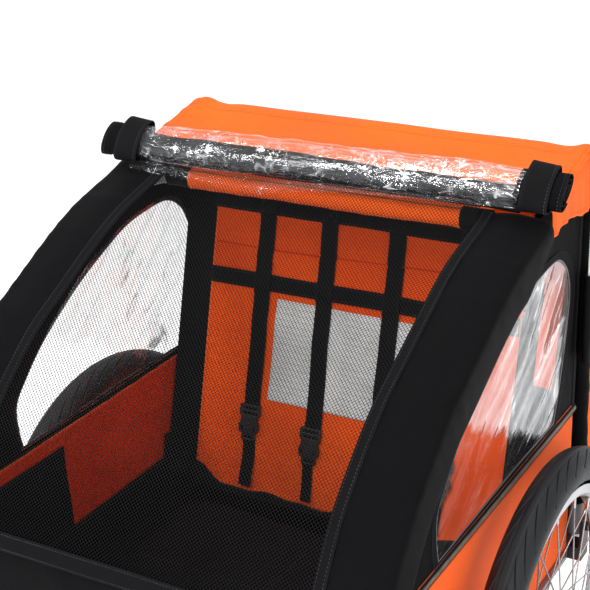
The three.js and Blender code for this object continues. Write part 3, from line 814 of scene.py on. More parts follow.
# ------------------------------------------------------------------ wheels
def wheel(side):
    s = 1 if side == "left" else -1
    body = "wheel_" + side
    cz = WHEEL_R
    count, m = 44, 61
    frac = np.array([0.0, 0.1, 0.2, 0.3, 0.37, 0.42, 0.45, 0.50, 0.55, 0.58, 0.63, 0.7, 0.8, 0.9])
    n = count * len(frac)
    pitch = 2 * math.pi / count
    flat = ((np.arange(count)[:, None] + frac[None, :]) * pitch).reshape(-1, 1)
    f = np.tile(frac, count)[:, None]
    ph = np.radians(np.linspace(-140, 140, m))[None, :]
    deg = np.degrees(ph)
    a = np.abs(deg)
    # long curved grooves that lean with the direction of travel, from the centre rib out to the shoulder
    k = np.clip((a - 13) / 50, 0, 1)
    c_ = np.clip((deg + 12) / 24, 0, 1)
    slide = pitch * (1.7 * k ** 0.75 + 0.5 * c_ * c_ * (3 - 2 * c_))
    th = flat + slide
    cutter = np.clip((0.08 - np.abs(f - 0.5)) / 0.03, 0, 1) * np.clip((a - 13) / 4, 0, 1) * np.clip((66 - a) / 4, 0, 1)
    ring = np.clip(1 - np.abs(a - 12.5) / 2.4, 0, 1)
    side_rib = np.clip(1 - np.abs(a - 76) / 2.5, 0, 1) * -0.25 + np.clip(1 - np.abs(a - 104) / 2.5, 0, 1) * -0.35
    g = np.maximum(cutter, ring * 0.8)
    depth = 2.6 * g + side_rib
    rr = TYRE_R - depth - np.clip((a - 90) / 50, 0, 1) * 1.2
    R = WHEEL_R - TYRE_R + rr * np.cos(ph)
    X = rr * np.sin(ph) + 0 * th
    outer = np.stack([WHEEL_X + X, R * np.cos(th), cz + R * np.sin(th)], axis=2)
    pin = np.radians(np.linspace(140, -140, 13))[None, :]
    Ri = WHEEL_R - TYRE_R + (TYRE_R - 4) * np.cos(pin)
    back = flat + np.linspace(slide[0, -1], slide[0, 0], 13)[None, :]
    inner = np.stack([WHEEL_X + (TYRE_R - 4) * np.sin(pin) + 0 * back, Ri * np.cos(back), cz + Ri * np.sin(back)], axis=2)
    P = np.concatenate([outer, inner], axis=1)
    groove = np.concatenate([g + 0 * th, np.zeros((n, 13))], axis=1)
    th = flat
    f4 = grid_faces(n, m + 13, True, True)
    cl = np.stack([P[..., 0], np.broadcast_to(th * WHEEL_R, P.shape[:2]), P[..., 0] * 0], axis=2)
    o = mesh("tyre_" + side, P.reshape(-1, 3), f4, "tyre", cloth=cl.reshape(-1, 3), groove=groove.ravel())
    parts = [("tyre_" + side, o, "tyre_rubber", "tyre_" + side)]

    def lathe(name, prof, seg, mat_):
        prof = np.asarray(prof, float)
        t = np.linspace(0, 2 * math.pi, seg, endpoint=False)[:, None]
        Q = np.stack([np.broadcast_to(WHEEL_X + prof[None, :, 1], (seg, len(prof))),
                      prof[None, :, 0] * np.cos(t), cz + prof[None, :, 0] * np.sin(t)], axis=2)
        return mesh(name, Q.reshape(-1, 3), grid_faces(seg, len(prof), True, True), mat_)

    def dense(pts, n_):
        p = np.array(pts, float)
        return resample(np.vstack([p, p[:1]]), n_ + 1)[:-1]

    rim_prof = []
    base = [(189, -8.2), (190.2, -9.4), (193.6, -13.0), (195, -13.6), (204.6, -13.6), (205.6, -13.1), (205.6, -12.0), (204.8, -11.4),
            (200.2, -10.8), (199.2, -9.6), (199.0, 0), (199.2, 9.6), (200.2, 10.8), (204.8, 11.4), (205.6, 12.0), (205.6, 13.1), (204.6, 13.6),
            (195, 13.6), (193.6, 13.0), (190.2, 9.4), (189, 8.2), (188.4, 0)]
    rim = lathe("rim_" + side, base, 180, "alloy")
    for p_ in rim.data.polygons:
        pass
    val = sweep("v", [(WHEEL_X, 0, cz - 189), (WHEEL_X, 0, cz - 181), (WHEEL_X, 0, cz - 173), (WHEEL_X, 0, cz - 160)], circle(2.6, 12), "alloy", scale=[1.5, 1.1, 1, 1])
    cap = sweep("c", [(WHEEL_X, 0, cz - 163), (WHEEL_X, 0, cz - 158), (WHEEL_X, 0, cz - 152), (WHEEL_X, 0, cz - 149)], circle(3.6, 12), "plastic", scale=[0.95, 1, 1, 0.7])
    rim = join("rim_" + side, [rim, val, cap])
    parts.append(("rim_" + side, rim, "rim_alloy", "rim_" + side))

    hubp = [(0.4, -50.5), (6.2, -50.5), (6.2, -33), (12, -32.6), (15, -31), (16, -29), (16, -26), (23, -25.6), (24, -24.6), (24, -23.0), (23, -22.2),
            (15, -21.6), (12.6, -18), (12.2, 0), (12.6, 18), (15, 21.6), (23, 22.2), (24, 23.0), (24, 24.6), (23, 25.6), (16, 26), (16, 29), (15, 31), (12, 32), (9.6, 32), (9.6, 22), (0.4, 22)]
    hub = [lathe("hub_" + side, hubp, 56, "zinc")]
    nsp = 36
    S = []
    for k_ in range(nsp):
        sd = 1 if k_ % 2 else -1
        a1 = 2 * math.pi * k_ / nsp
        a0 = a1 + (0.95 if k_ % 4 < 2 else -0.95)
        lift = 1.1 if k_ % 4 < 2 else -1.1
        A = np.array([WHEEL_X + sd * (23.8 + lift), 21.5 * math.cos(a0), cz + 21.5 * math.sin(a0)])
        B = np.array([WHEEL_X + sd * 4.0, 187.5 * math.cos(a1), cz + 187.5 * math.sin(a1)])
        d = (B - A) / np.linalg.norm(B - A)
        bendp = A + d * 3.0
        head = A + np.array([-sd * lift * 2.0, 0, 0])
        S.append(sweep("sp", np.array([head, A, bendp, B - d * 13]), circle(1.0, 8), "spoke", up=(1, 0.01, 0)))
        S.append(sweep("np", np.array([B - d * 13.5, B - d * 12.5, B - d * 3, B + d * 1.0]), circle(2.0, 8), "alloy", up=(1, 0.01, 0), scale=[0.7, 0.9, 1.0, 1.25]))
    hub = join("hub_" + side, hub + S)
    parts.append(("hub_" + side, hub, "plated_steel", "hub_" + side))
    for name, ob, slot, node in parts:
        if s < 0:
            co = np.zeros(len(ob.data.vertices) * 3, np.float32)
            ob.data.vertices.foreach_get("co", co)
            co = co.reshape(-1, 3)
            co[:, 0] *= -1
            ob.data.vertices.foreach_set("co", co.ravel())
            ob.data.flip_normals()
        if name.startswith("rim"):
            shade_by_angle(ob, 38)
        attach(ob, body)
        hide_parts(node)


def shade_by_angle(o, deg):
    """Flat where faces meet at more than this angle, smooth elsewhere."""
    m = o.modifiers.new("hard_edges", "EDGE_SPLIT")
    m.use_edge_angle, m.split_angle = True, math.radians(deg)
    m.use_edge_sharp = False


wheel("left")
wheel("right")


# ------------------------------------------------------------------ tubes
def tubes():
    path = rounded([(MAIN_X, MAIN_PIVOT[0] + 0.4, MAIN_PIVOT[1] - 12), (MAIN_X, *MAIN_TOP), (-MAIN_X, *MAIN_TOP), (-MAIN_X, MAIN_PIVOT[0] + 0.4, MAIN_PIVOT[1] - 12)], 48)
    o = sweep("rear_hoop_tube", path, circle(TUBE_R, 28), "steel", up=(0, 1, 0))
    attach(o, "rear_hoop"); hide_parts("rear_hoop_tube")
    line = front(np.array(SURFACE, float), 15.6)[2:15][::-1]
    up = [(FRONT_X, FRONT_PIVOT[0], FRONT_PIVOT[1] - 12), (FRONT_X, FRONT_PIVOT[0], FRONT_PIVOT[1] + 12)] + [(FRONT_X, p[0], p[1]) for p in line[1:]]
    down = [(-p[0], p[1], p[2]) for p in up[::-1]]
    path = rounded(up + [(FRONT_X, *FRONT_BAR), (-FRONT_X, *FRONT_BAR)] + down, 42)
    o = sweep("front_hoop_tube", path, circle(TUBE_R, 28), "steel", up=(0, 1, 0.1))
    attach(o, "front_hoop"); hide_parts("front_hoop_tube")

    hx, hz = 95.0, 335.0
    path = rounded([(RAIL_X, -425, RAIL_Z), (RAIL_X, -640, RAIL_Z), (112, -890, 308), (hx, -1034, hz)], 150, 18)
    body = sweep("drawbar_tube", path, circle(13.5, 32), "steel", up=(0, 0, 1))
    bm = bmesh.new()
    for x0, x1, y0, y1, z0, z1 in ((hx - 15, hx + 15, -1046, -1030, hz - 22, hz + 22), (hx - 15, hx + 15, -1080, -1045.8, hz + 18, hz + 22), (hx - 15, hx + 15, -1080, -1045.8, hz - 22, hz - 18)):
        r = bmesh.ops.create_cube(bm, size=1.0)
        for v in r["verts"]:
            v.co = Vector(W([x0 + (v.co.x + 0.5) * (x1 - x0), y0 + (v.co.y + 0.5) * (y1 - y0), z0 + (v.co.z + 0.5) * (z1 - z0)]))
    me = bpy.data.meshes.new("fork")
    bm.to_mesh(me); bm.free()
    fork = bpy.data.objects.new("fork", me)
    bpy.context.scene.collection.objects.link(fork)
    fork.data.materials.append(MATS["steel"])
    b = fork.modifiers.new("b", "BEVEL")
    b.width, b.segments = 1.4 * MM, 3
    cap = sweep("grip", resample(path[:60:1], 400)[3:26], circle(14.4, 32), "plastic", up=(0, 0, 1))
    bpy.data.objects.remove(cap)
    o = join("drawbar_tube", [body, fork])
    shade_by_angle(o, 40)
    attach(o, "drawbar"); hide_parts("drawbar_tube")


tubes()


# ------------------------------------------------------------------ black sleeves of the front bow
def front_sleeve():
    n = len(SURF)
    # across the sleeve, from the net seam over the tube to the outer flange: x, depth under the surface
    sec = np.array([(220.6, 2.2), (222.6, 0.9), (226, 0.2), (231, -0.3), (238, -1.4), (246, -2.8), (254, -3.7), (262, -3.9), (270, -3.4),
                    (278, -2.5), (286, -1.6), (292, -0.8), (297, 0.6), (300.6, 2.8), (302.6, 6.0), (303.4, 10), (303.8, 16), (303.9, 23),
                    (303.8, 30), (303.5, 37), (303.0, 44), (302.2, 50), (301.0, 55), (299.0, 57.6), (296.6, 57.2)])
    sec = np.vstack([smooth_line(sec, 64)])
    t = np.linspace(0, 1, n)
    P = np.zeros((n, len(sec), 3))
    for j, (x, d) in enumerate(sec):
        # the flange is shorter where it meets the bar at the top and the bracket at the bottom
        cut = np.clip(t / 0.10, 0, 1) * 0.45 + 0.55
        cut *= np.clip((1 - t) / 0.05, 0, 1) * 0.3 + 0.7
        dd = np.where(d > 3, 3 + (d - 3) * cut, d)
        P[:, j, 1:] = front(SURF, dd)
        P[:, j, 0] = x
    r = ripple(P, 11, 18, 60, 260) * 1.0
    cr = creases(P, 5, (0.25, 1.0, 0.9), 62, 4.0, 70) * 1.5
    top = np.clip((sec[:, 0] - 224) / 16, 0, 1) * np.clip((300 - sec[:, 0]) / 10, 0, 1)
    side = np.clip((sec[:, 1] - 8) / 14, 0, 1) * np.clip((56 - sec[:, 1]) / 10, 0, 1)
    nt = np.gradient(SURF, axis=0); nt /= np.linalg.norm(nt, axis=1, keepdims=True)
    nv = np.column_stack([nt[:, 1], -nt[:, 0]])
    amt = (r + cr - 0.4) * top[None, :]
    P[:, :, 1] += nv[:, 0:1] * amt
    P[:, :, 2] += nv[:, 1:2] * amt
    P[:, :, 0] += (0.9 * r + 0.8 * cr) * side[None, :]
    tuck = creases(P, 9, (0.02, 1.0, 0.85), 27, 2.6, 46) * (np.clip((sec[:, 0] - 276) / 18, 0, 1) * np.clip((46 - sec[:, 1]) / 20, 0, 1))[None, :] * np.interp(t, [0, 0.25, 0.6, 1], [0.2, 0.5, 1.0, 0.7])[:, None]
    P[:, :, 0] += 1.7 * tuck
    P[:, :, 1] += nv[:, 0:1] * 0.8 * tuck
    P[:, :, 2] += nv[:, 1:2] * 0.8 * tuck
    o = grid("front_sleeve_left", P, "black", thick=1.0, offset=-1.0, edge_mm=3.0)
    # hem tape beside the net and the two lines of stitching that hold it
    hem = []
    for x, dz in ((221.0, 0),):
        path = np.column_stack([np.full(n, 227.0), front(SURF, -0.9)])
        tape = np.zeros((n, 7, 3))
        for j, (xx, dd) in enumerate(((219.4, 1.6), (220.4, -0.5), (223, -1.3), (227, -1.6), (231, -1.7), (233.4, -1.4), (234.2, -0.4))):
            tape[:, j, 1:] = front(SURF, dd)
            tape[:, j, 0] = xx + 0.5 * ripple(np.column_stack([np.full(n, 200.0), SURF]), 3, 8, 60, 200)
        hem.append(grid("tape", tape, "binding", thick=0.8, offset=1.0))
    nrm = np.column_stack([np.zeros(n), nv])
    st = []
    for x, d in ((222.6, -2.2), (231.6, -2.6)):
        st.append(stitches("st", np.column_stack([np.full(n, x), front(SURF, d)]), nrm, mats="thread"))
    for x, d in ((304.4, 47.0),):
        cutv = (np.clip(t / 0.10, 0, 1) * 0.45 + 0.55) * (np.clip((1 - t) / 0.05, 0, 1) * 0.3 + 0.7)
        st.append(stitches("st", np.column_stack([np.full(n, x), front(SURF, 3 + (d - 3) * cutv)]), (1, 0, 0), mats="thread"))
    o = join("front_sleeve_left", [o] + hem + st)
    p = mirror(o, "front_sleeve_right")
    for q, sd in ((o, "left"), (p, "right")):
        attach(q, "front_hoop"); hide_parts("front_sleeve_" + sd)


front_sleeve()


# ------------------------------------------------------------------ net
def net():
    i0 = np.argmin(np.abs(SURF - (6, 779)).sum(1))
    i1 = np.argmin(np.abs(SURF - (-406, 474)).sum(1))
    line = resample(np.vstack([[(27.5, 801.5), (17.5, 791.5)], SURF[i0:i1 + 1]]), 400)
    L = np.linalg.norm(np.diff(line, axis=0), axis=1).sum()
    t = np.gradient(line, axis=0); t /= np.linalg.norm(t, axis=1, keepdims=True)
    nv = np.column_stack([-t[:, 1], t[:, 0]])
    s_ax = np.linspace(0, L, 400)
    pitch = 4.8
    half = 220.0

    def place(x, s):
        y = np.interp(s, s_ax, line[:, 0]); z = np.interp(s, s_ax, line[:, 1])
        ny = np.interp(s, s_ax, nv[:, 0]); nz = np.interp(s, s_ax, nv[:, 1])
        sag = 7.0 * (1 - (x / half) ** 2) * np.sin(np.pi * np.clip(s / L, 0, 1)) ** 0.8 + 1.0
        q = np.stack([x, y, z], axis=-1)
        sag = sag + 1.1 * ripple(q, 21, 12, 90, 320) * (1 - (x / half) ** 2)
        # pulled lines from the corners of the seams
        sag = sag - 1.2 * creases(q, 33, (1.0, 0.6, 0.0), 95, 3.0, 120) * (1 - (x / half) ** 2)
        return np.stack([x, y + ny * sag, z + nz * sag], axis=-1)

    for name, x0, x1 in (("net_cover_left", 0.0, half), ("net_cover_right", -half, 0.0)):
        nx = int(round((x1 - x0) / (pitch / 2)))
        ns = int(round(L / (pitch / 2)))
        i, j = np.meshgrid(np.arange(nx + 1), np.arange(ns + 1), indexing="ij")
        on = ((i + j) % 2 == 0)
        ident = -np.ones(on.shape, int)
        ident[on] = np.arange(on.sum())
        a = 0.42
        xs = x0 + (x1 - x0) * i / nx
        ss = L * j / ns
        C = np.stack([xs[on], ss[on]], axis=1)
        corners = [(0, a), (a, 0), (0, -a), (-a, 0)]
        V_ = np.concatenate([place(np.clip(C[:, 0] + dx, -half, half), np.clip(C[:, 1] + ds, 0, L))[:, None, :] for dx, ds in corners], axis=1).reshape(-1, 3)
        cl = np.concatenate([np.column_stack([C[:, 0] + dx, C[:, 1] + ds, 0 * C[:, 0]])[:, None, :] for dx, ds in corners], axis=1).reshape(-1, 3)
        k = ident[on]
        F = [np.column_stack([4 * k, 4 * k + 1, 4 * k + 2, 4 * k + 3])]
        # to the neighbour at +x +s, from this node's N and E corners to its W and S corners
        src = on[:-1, :-1]
        p, q = ident[:-1, :-1][src], ident[1:, 1:][src]
        F.append(np.column_stack([4 * p, 4 * q + 3, 4 * q + 2, 4 * p + 1]))
        src = on[:-1, 1:]
        p, q = ident[:-1, 1:][src], ident[1:, :-1][src]
        F.append(np.column_stack([4 * p + 1, 4 * q, 4 * q + 3, 4 * p + 2]))
        F = np.concatenate(F)
        o = mesh(name, V_, F.tolist(), "net", cloth=cl, smooth=True)
        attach(o, "net_door"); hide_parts("net_cover")
    # tape along the top and the bottom of the net
    tapes = []
    for name, s0, s1, lift in (("net_hem_top", -4, 4, -0.9), ("net_hem_bottom", L - 20, L + 1, -0.9)):
        xs = np.linspace(-half - 1, half + 1, 90)
        ss = np.linspace(s0, s1, 9)
        X, S_ = np.meshgrid(xs, ss, indexing="ij")
        P = place(np.clip(X, -half, half), np.clip(S_, 0, L))
        P[..., 0] = X
        ext = S_ - np.clip(S_, 0, L)
        P[..., 1] += lift * np.interp(np.clip(S_, 0, L), s_ax, nv[:, 0]) + ext * np.interp(np.clip(S_, 0, L), s_ax, t[:, 0])
        P[..., 2] += lift * np.interp(np.clip(S_, 0, L), s_ax, nv[:, 1]) + ext * np.interp(np.clip(S_, 0, L), s_ax, t[:, 1])
        tapes.append(grid(name, P, "binding", thick=1.4, offset=0.0))
        for k_ in (1, 7):
            nn = np.array([0, -nv[0, 0], -nv[0, 1]]) if name.endswith("top") else np.array([0, -nv[-1, 0], -nv[-1, 1]])
            tapes.append(stitches("st", P[:, k_] + nn * 1.0, nn, mats="thread"))
    o = join("net_hems", tapes)
    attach(o, "net_door"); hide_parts("net_cover")


net()


# ------------------------------------------------------------------ side panels, piping, window surrounds and panes
INNER7 = front(SURF, 7.0)
HIGH = INNER7[INNER7[:, 1] > PIPING_Z + 6]
LOW = INNER7[(INNER7[:, 1] <= PIPING_Z + 6) & (INNER7[:, 1] > 300)]


def front_y(z):
    """The panel's front edge at a height below the piping."""
    if np.ndim(z) == 0:
        z = np.array([z])
    zz = LOW[::-1, 1]
    return np.interp(z, np.concatenate([[253.0], zz]), np.concatenate([[-396.0], LOW[::-1, 0]]))


def side_low():
    zs = np.unique(np.concatenate([np.linspace(253, PIPING_Z - 1, 46), [268.0]]))
    fr = front_y(zs)
    ys0 = np.unique(np.concatenate([np.linspace(0, 1, 110)]))
    P = np.zeros((len(ys0), len(zs), 3))
    for k, z in enumerate(zs):
        P[:, k, 1] = fr[k] + (200.0 - fr[k]) * ys0
        P[:, k, 2] = z
    # columns near the axle notch stand upright
    for yv in (-42.0, 42.0):
        i = np.argmin(np.abs(P[:, 0, 1] - yv))
        P[i, :, 1] = yv
    base = 1.4
    u = (P[..., 1] + 396) / 596
    v = (P[..., 2] - 253) / (PIPING_Z - 253)
    hold = np.clip(v * (1 - v) * 6, 0, 1) * np.clip(u * (1 - u) * 9, 0, 1)
    r = ripple(P, 41, 16, 60, 300)
    c1 = creases(P, 43, (0, 0.35, 1.0), 74, 3.0, 80)
    c2 = creases(P, 47, (0, 1.0, -0.55), 88, 4.0, 90)
    P[..., 0] = PANEL_X + base + hold * (1.6 * r + 2.4 * c1 + 2.0 * c2 + 1.2) * 0.55

    def keep(c):
        y, z = c[:, 1] * 1.0, c[:, 2] * 1.0
        return ~((np.abs(y) < 42.0) & (z < 268.0))
    # the solidified inner face takes the darker red copy of the orange: painted shade inside the wall
    o = grid("side_panel_left", P, ["orange", "orange_side"], thick=1.0, offset=0.0, keep=keep)
    o.modifiers["thick"].material_offset = 1
    o.modifiers["thick"].material_offset_rim = 0
    st = []
    top = P[:, -3].copy(); top[:, 0] += 0.9
    st.append(stitches("st", top, (1, 0, 0), mats="thread_o"))
    bot = np.column_stack([np.full(60, PANEL_X + 3.2), np.linspace(-392, -44, 60), np.full(60, 258.5)])
    st.append(stitches("st", bot, (1, 0, 0), mats="thread"))
    bot2 = bot.copy(); bot2[:, 1] = np.linspace(44, 198, 60)
    st.append(stitches("st", bot2, (1, 0, 0), mats="thread"))
    # dark hem tape along the lower edge, in two lengths beside the axle
    for y0, y1 in ((-396, -42.5), (42.5, 200)):
        y = np.linspace(y0, y1, 60)
        T = np.zeros((60, 7, 3))
        for j, (x, z) in enumerate(((PANEL_X - 0.6, 264.5), (PANEL_X - 0.9, 258), (PANEL_X - 0.6, 252.6), (PANEL_X + 1.4, 251.6), (PANEL_X + 3.3, 252.6), (PANEL_X + 3.0, 258), (PANEL_X + 2.6, 264.5))):
            T[:, j] = np.column_stack([x + 0 * y, y, z + 0.3 * ripple(np.column_stack([0 * y, y, 0 * y]), 9, 8, 60, 200)])
        st.append(grid("tape", T, "hem_red", thick=0.7, offset=1.0))
    o = join("side_panel_left", [o] + st)
    p = mirror(o, "side_panel_right")
    for q, sd in ((o, "left"), (p, "right")):
        fold_down(q)
        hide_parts("side_panel_" + sd)


MATS["hem_red"] = woven("hem_dark_red", lin(92, 26, 14), lin(128, 38, 20), 1.0, 0.0002, 0.0005, (0.65, 0.8), 0.1, lin(150, 70, 50), 0.25)
side_low()


def lining():
    """Black inner lining: the front of the side wall below the piping, and a gusset beside the seat."""
    zs = np.linspace(254, 457, 26)
    ys = np.linspace(0, 1, 40)
    P = np.zeros((len(ys), len(zs), 3))
    for k, z in enumerate(zs):
        a = front_y(z)[0] + 6
        b = -155.0 + 3.0 * math.sin(z / 40.0)
        P[:, k, 1] = a + (b - a) * ys
        P[:, k, 2] = z
    P[..., 0] = PANEL_X - 1.6 - 1.2 * np.clip(ripple(P, 61, 12, 60, 240) + 0.6, 0, 2)
    o = grid("side_lining_left", P, "black_in", thick=0.8, offset=0.0)
    # the rear part, cut on a slant over the cushion's rear end
    up = np.array([(58, 325), (62, 345), (54, 370), (95, 364), (108, 344), (120, 378), (140, 360), (198, 372)], float)
    ys2 = np.linspace(40, 198, 40)
    topz = np.interp(ys2, up[:, 0], up[:, 1], left=322)
    topz[ys2 < 56] = 312
    Q = np.zeros((40, 10, 3))
    for j in range(10):
        Q[:, j, 1] = ys2
        Q[:, j, 2] = 254 + (topz - 254) * j / 9
    Q[..., 0] = PANEL_X - 1.5 - 0.8 * np.clip(ripple(Q, 67, 10, 50, 160) + 0.6, 0, 2)
    o2 = grid("g", Q, "black_in", thick=0.8, offset=0.0)
    o = join("side_lining_left", [o, o2])
    p = mirror(o, "side_lining_right")
    for q, sd in ((o, "left"), (p, "right")):
        fold_down(q)
        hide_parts("side_panel_" + sd)


lining()


def ray_hits(poly, c, ang):
    """Distance from c to a closed outline in each direction."""
    p = np.asarray(poly, float)
    q = np.roll(p, -1, axis=0)
    out = np.zeros(len(ang))
    for i, a in enumerate(ang):
        d = np.array([math.cos(a), math.sin(a)])
        e = q - p
        den = d[0] * e[:, 1] - d[1] * e[:, 0]
        w = p - c
        with np.errstate(divide="ignore", invalid="ignore"):
            t = (w[:, 0] * e[:, 1] - w[:, 1] * e[:, 0]) / den
            u = (w[:, 0] * d[1] - w[:, 1] * d[0]) / den
        ok = (np.abs(den) > 1e-9) & (u >= -1e-6) & (u <= 1 + 1e-6) & (t > 0)
        out[i] = t[ok].min() if ok.any() else 0
    return out


def window_sides():
    c = np.array([-20.0, 600.0])
    win = smooth_line(np.array(WINDOW, float), 200)
    base = np.column_stack([np.linspace(WINDOW[-1][0], WINDOW[0][0], 60), np.full(60, 484.0)])[1:-1]
    outline = np.vstack([win, base])
    outer = np.vstack([[(200, PIPING_Z + 0.6), (200, 806), (62, 786)], HIGH, [(-396, PIPING_Z + 0.6)]])
    corners = np.array([(200, PIPING_Z + 0.6), (200, 806), (62, 786), tuple(HIGH[0]), (-396, PIPING_Z + 0.6), WINDOW[0], WINDOW[-1]], float)
    ang = np.unique(np.round(np.concatenate([np.linspace(-math.pi, math.pi, 300, endpoint=False), np.arctan2(corners[:, 1] - c[1], corners[:, 0] - c[0])]), 6))
    ri, ro = ray_hits(outline, c, ang), ray_hits(outer, c, ang)
    m = 18
    dirs = np.column_stack([np.cos(ang), np.sin(ang)])
    P = np.zeros((len(ang), m, 3))
    for j in range(m):
        k = j / (m - 1)
        rr = ri + (ro - ri) * k
        P[:, j, 1:] = c + dirs * rr[:, None]
    w = np.linspace(0, 1, m)[None, :]
    hold = np.clip(w * (1 - w) * 5, 0, 1) * np.clip((P[..., 2] - PIPING_Z) / 30, 0, 1) * np.clip((200 - P[..., 1]) / 25, 0, 1)
    P[..., 0] = PANEL_X + 1.6 + hold * (1.2 * ripple(P, 71, 14, 70, 260) + 1.6 * creases(P, 73, (0, 1, 0.4), 70, 4, 80))
    o = grid("window_surround_left", P, "black", cu=True, thick=1.0, offset=0.0)
    extra = []
    # orange strip between the window's lower edge and the piping
    y = np.linspace(-392, 198, 90)
    T = np.zeros((90, 5, 3))
    for j, z in enumerate(np.linspace(PIPING_Z + 1.5, 483.6, 5)):
        T[:, j] = np.column_stack([PANEL_X + 2.7 + 0.25 * ripple(np.column_stack([y * 0, y, y * 0]), 5, 8, 50, 160), y, np.full(90, z)])
    T[..., 1] = np.maximum(T[..., 1], np.interp(T[..., 2], HIGH[::-1, 1], HIGH[::-1, 0]) + 1)
    extra.append(grid("strip", T, "orange", thick=0.8, offset=0.0))
    # binding round the window, folded over the cut edge of the vinyl
    ring = np.zeros((len(ang), 7, 3))
    for j, (dr, x) in enumerate(((-4.6, PANEL_X + 2.0), (-4.2, PANEL_X + 2.7), (-2.0, PANEL_X + 3.1), (1.5, PANEL_X + 3.1), (5.0, PANEL_X + 3.0), (7.6, PANEL_X + 2.7), (8.4, PANEL_X + 2.0))):
        ring[:, j, 1:] = c + dirs * (ri + dr)[:, None]
        ring[:, j, 0] = x
    lowz = 484.4
    ring[..., 2] = np.maximum(ring[..., 2], lowz)
    extra.append(grid("binding", ring, "binding", cu=True, thick=0.6, offset=1.0))
    edge_line = np.vstack([ring[:, 5], ring[:1, 5]]) + np.array([0.7, 0, 0])
    extra.append(stitches("st", edge_line, (1, 0, 0), mats="thread"))
    seam = np.column_stack([np.full(len(HIGH), PANEL_X + 2.6), HIGH])
    # upright binding along the rear edge
    zz = np.linspace(PIPING_Z + 2, 804, 60)
    B = np.zeros((60, 7, 3))
    for j, (dy, x) in enumerate(((-9, PANEL_X + 2.2), (-8, PANEL_X + 3.0), (-4, PANEL_X + 3.4), (0, PANEL_X + 3.4), (1.6, PANEL_X + 2.4), (1.9, PANEL_X + 1.0), (1.6, PANEL_X - 0.2))):
        B[:, j] = np.column_stack([np.full(60, x), 200 + dy + 0.5 * ripple(np.column_stack([zz * 0, zz * 0, zz]), 15, 8, 60, 200), zz])
    extra.append(grid("binding", B, "binding", thick=0.6, offset=1.0))
    extra.append(stitches("st", B[:, 1] + np.array([0.7, 0, 0]), (1, 0, 0), mats="thread"))
    o = join("window_surround_left", [o] + extra)
    p = mirror(o, "window_surround_right")
    area = 0.0
    for q, sd in ((o, "left"), (p, "right")):
        fold_down(q)
        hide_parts("window_surround_" + sd)

    # the clear pane: slightly slack film with long slanting folds
    m2 = 34
    Q = np.zeros((len(ang), m2, 3))
    for j in range(m2):
        k = (j / (m2 - 1)) ** 0.8
        Q[:, j, 1:] = c + dirs * ((ri + 2.0) * k)[:, None]
    k = (np.linspace(0, 1, m2) ** 0.8)[None, :]
    hold = np.clip((1 - k) * 5, 0, 1) ** 0.7
    bulge = 2.6 * (1 - k ** 2)
    cr = creases(Q, 81, (0, 0.60, -0.80), 52, 2.4, 130)
    cr2 = creases(Q, 83, (0, 0.50, -0.86), 25, 3.0, 70)
    Q[..., 0] = PANEL_X + 1.2 + bulge + hold * (2.6 * cr + 0.8 * cr2 + 0.8 * ripple(Q, 85, 12, 60, 200) - 1.0)
    Q[..., 2] = np.maximum(Q[..., 2], 483.0)
    pane = grid("window_pane_left", Q, "pane", cu=True)
    weld = np.zeros((len(ang), 5, 3))
    for j, (dr, x) in enumerate(((-7.5, PANEL_X + 1.9), (-7.0, PANEL_X + 2.35), (-5.8, PANEL_X + 2.5), (-4.6, PANEL_X + 2.35), (-4.2, PANEL_X + 1.9))):
        weld[:, j, 1:] = c + dirs * (ri + dr)[:, None]
        weld[:, j, 0] = x
    wl = grid("weld", weld, "weld", cu=True)
    pane = join("window_pane_left", [pane, wl])
    pr = mirror(pane, "window_pane_right")
    for q, sd in ((pane, "left"), (pr, "right")):
        fold_down(q)
        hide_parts("window_pane_" + sd)

    # piping: a bead of reflective tape between black selvedges
    y = np.linspace(-395, 201, 150)
    wob = 0.35 * ripple(np.column_stack([y * 0, y, y * 0]), 19, 8, 60, 220)
    path = np.column_stack([PANEL_X + 4.6 + wob * 0.5, y, PIPING_Z + wob])
    a = np.linspace(0, 2 * math.pi, 14, endpoint=False)
    bead = sweep("piping_left", path, np.column_stack([1.5 * np.cos(a), 3.1 * np.sin(a)]), "piping")
    F = []
    for z0, z1 in ((PIPING_Z + 2.2, PIPING_Z + 6.6), (PIPING_Z - 6.6, PIPING_Z - 2.2)):
        T = np.zeros((150, 5, 3))
        for j, (kz, x) in enumerate(((0, 3.4), (0.25, 4.3), (0.5, 4.5), (0.75, 4.3), (1, 3.4))):
            T[:, j] = np.column_stack([PANEL_X + x + wob * 0.4, y, z0 + (z1 - z0) * kz + wob])
        F.append(grid("sel", T, "binding", thick=0.7, offset=0.0))
    pip = join("piping_left", [bead] + F)
    pp = mirror(pip, "piping_right")
    for q, sd in ((pip, "left"), (pp, "right")):
        fold_down(q)
        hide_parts("window_surround_" + sd)


window_sides()


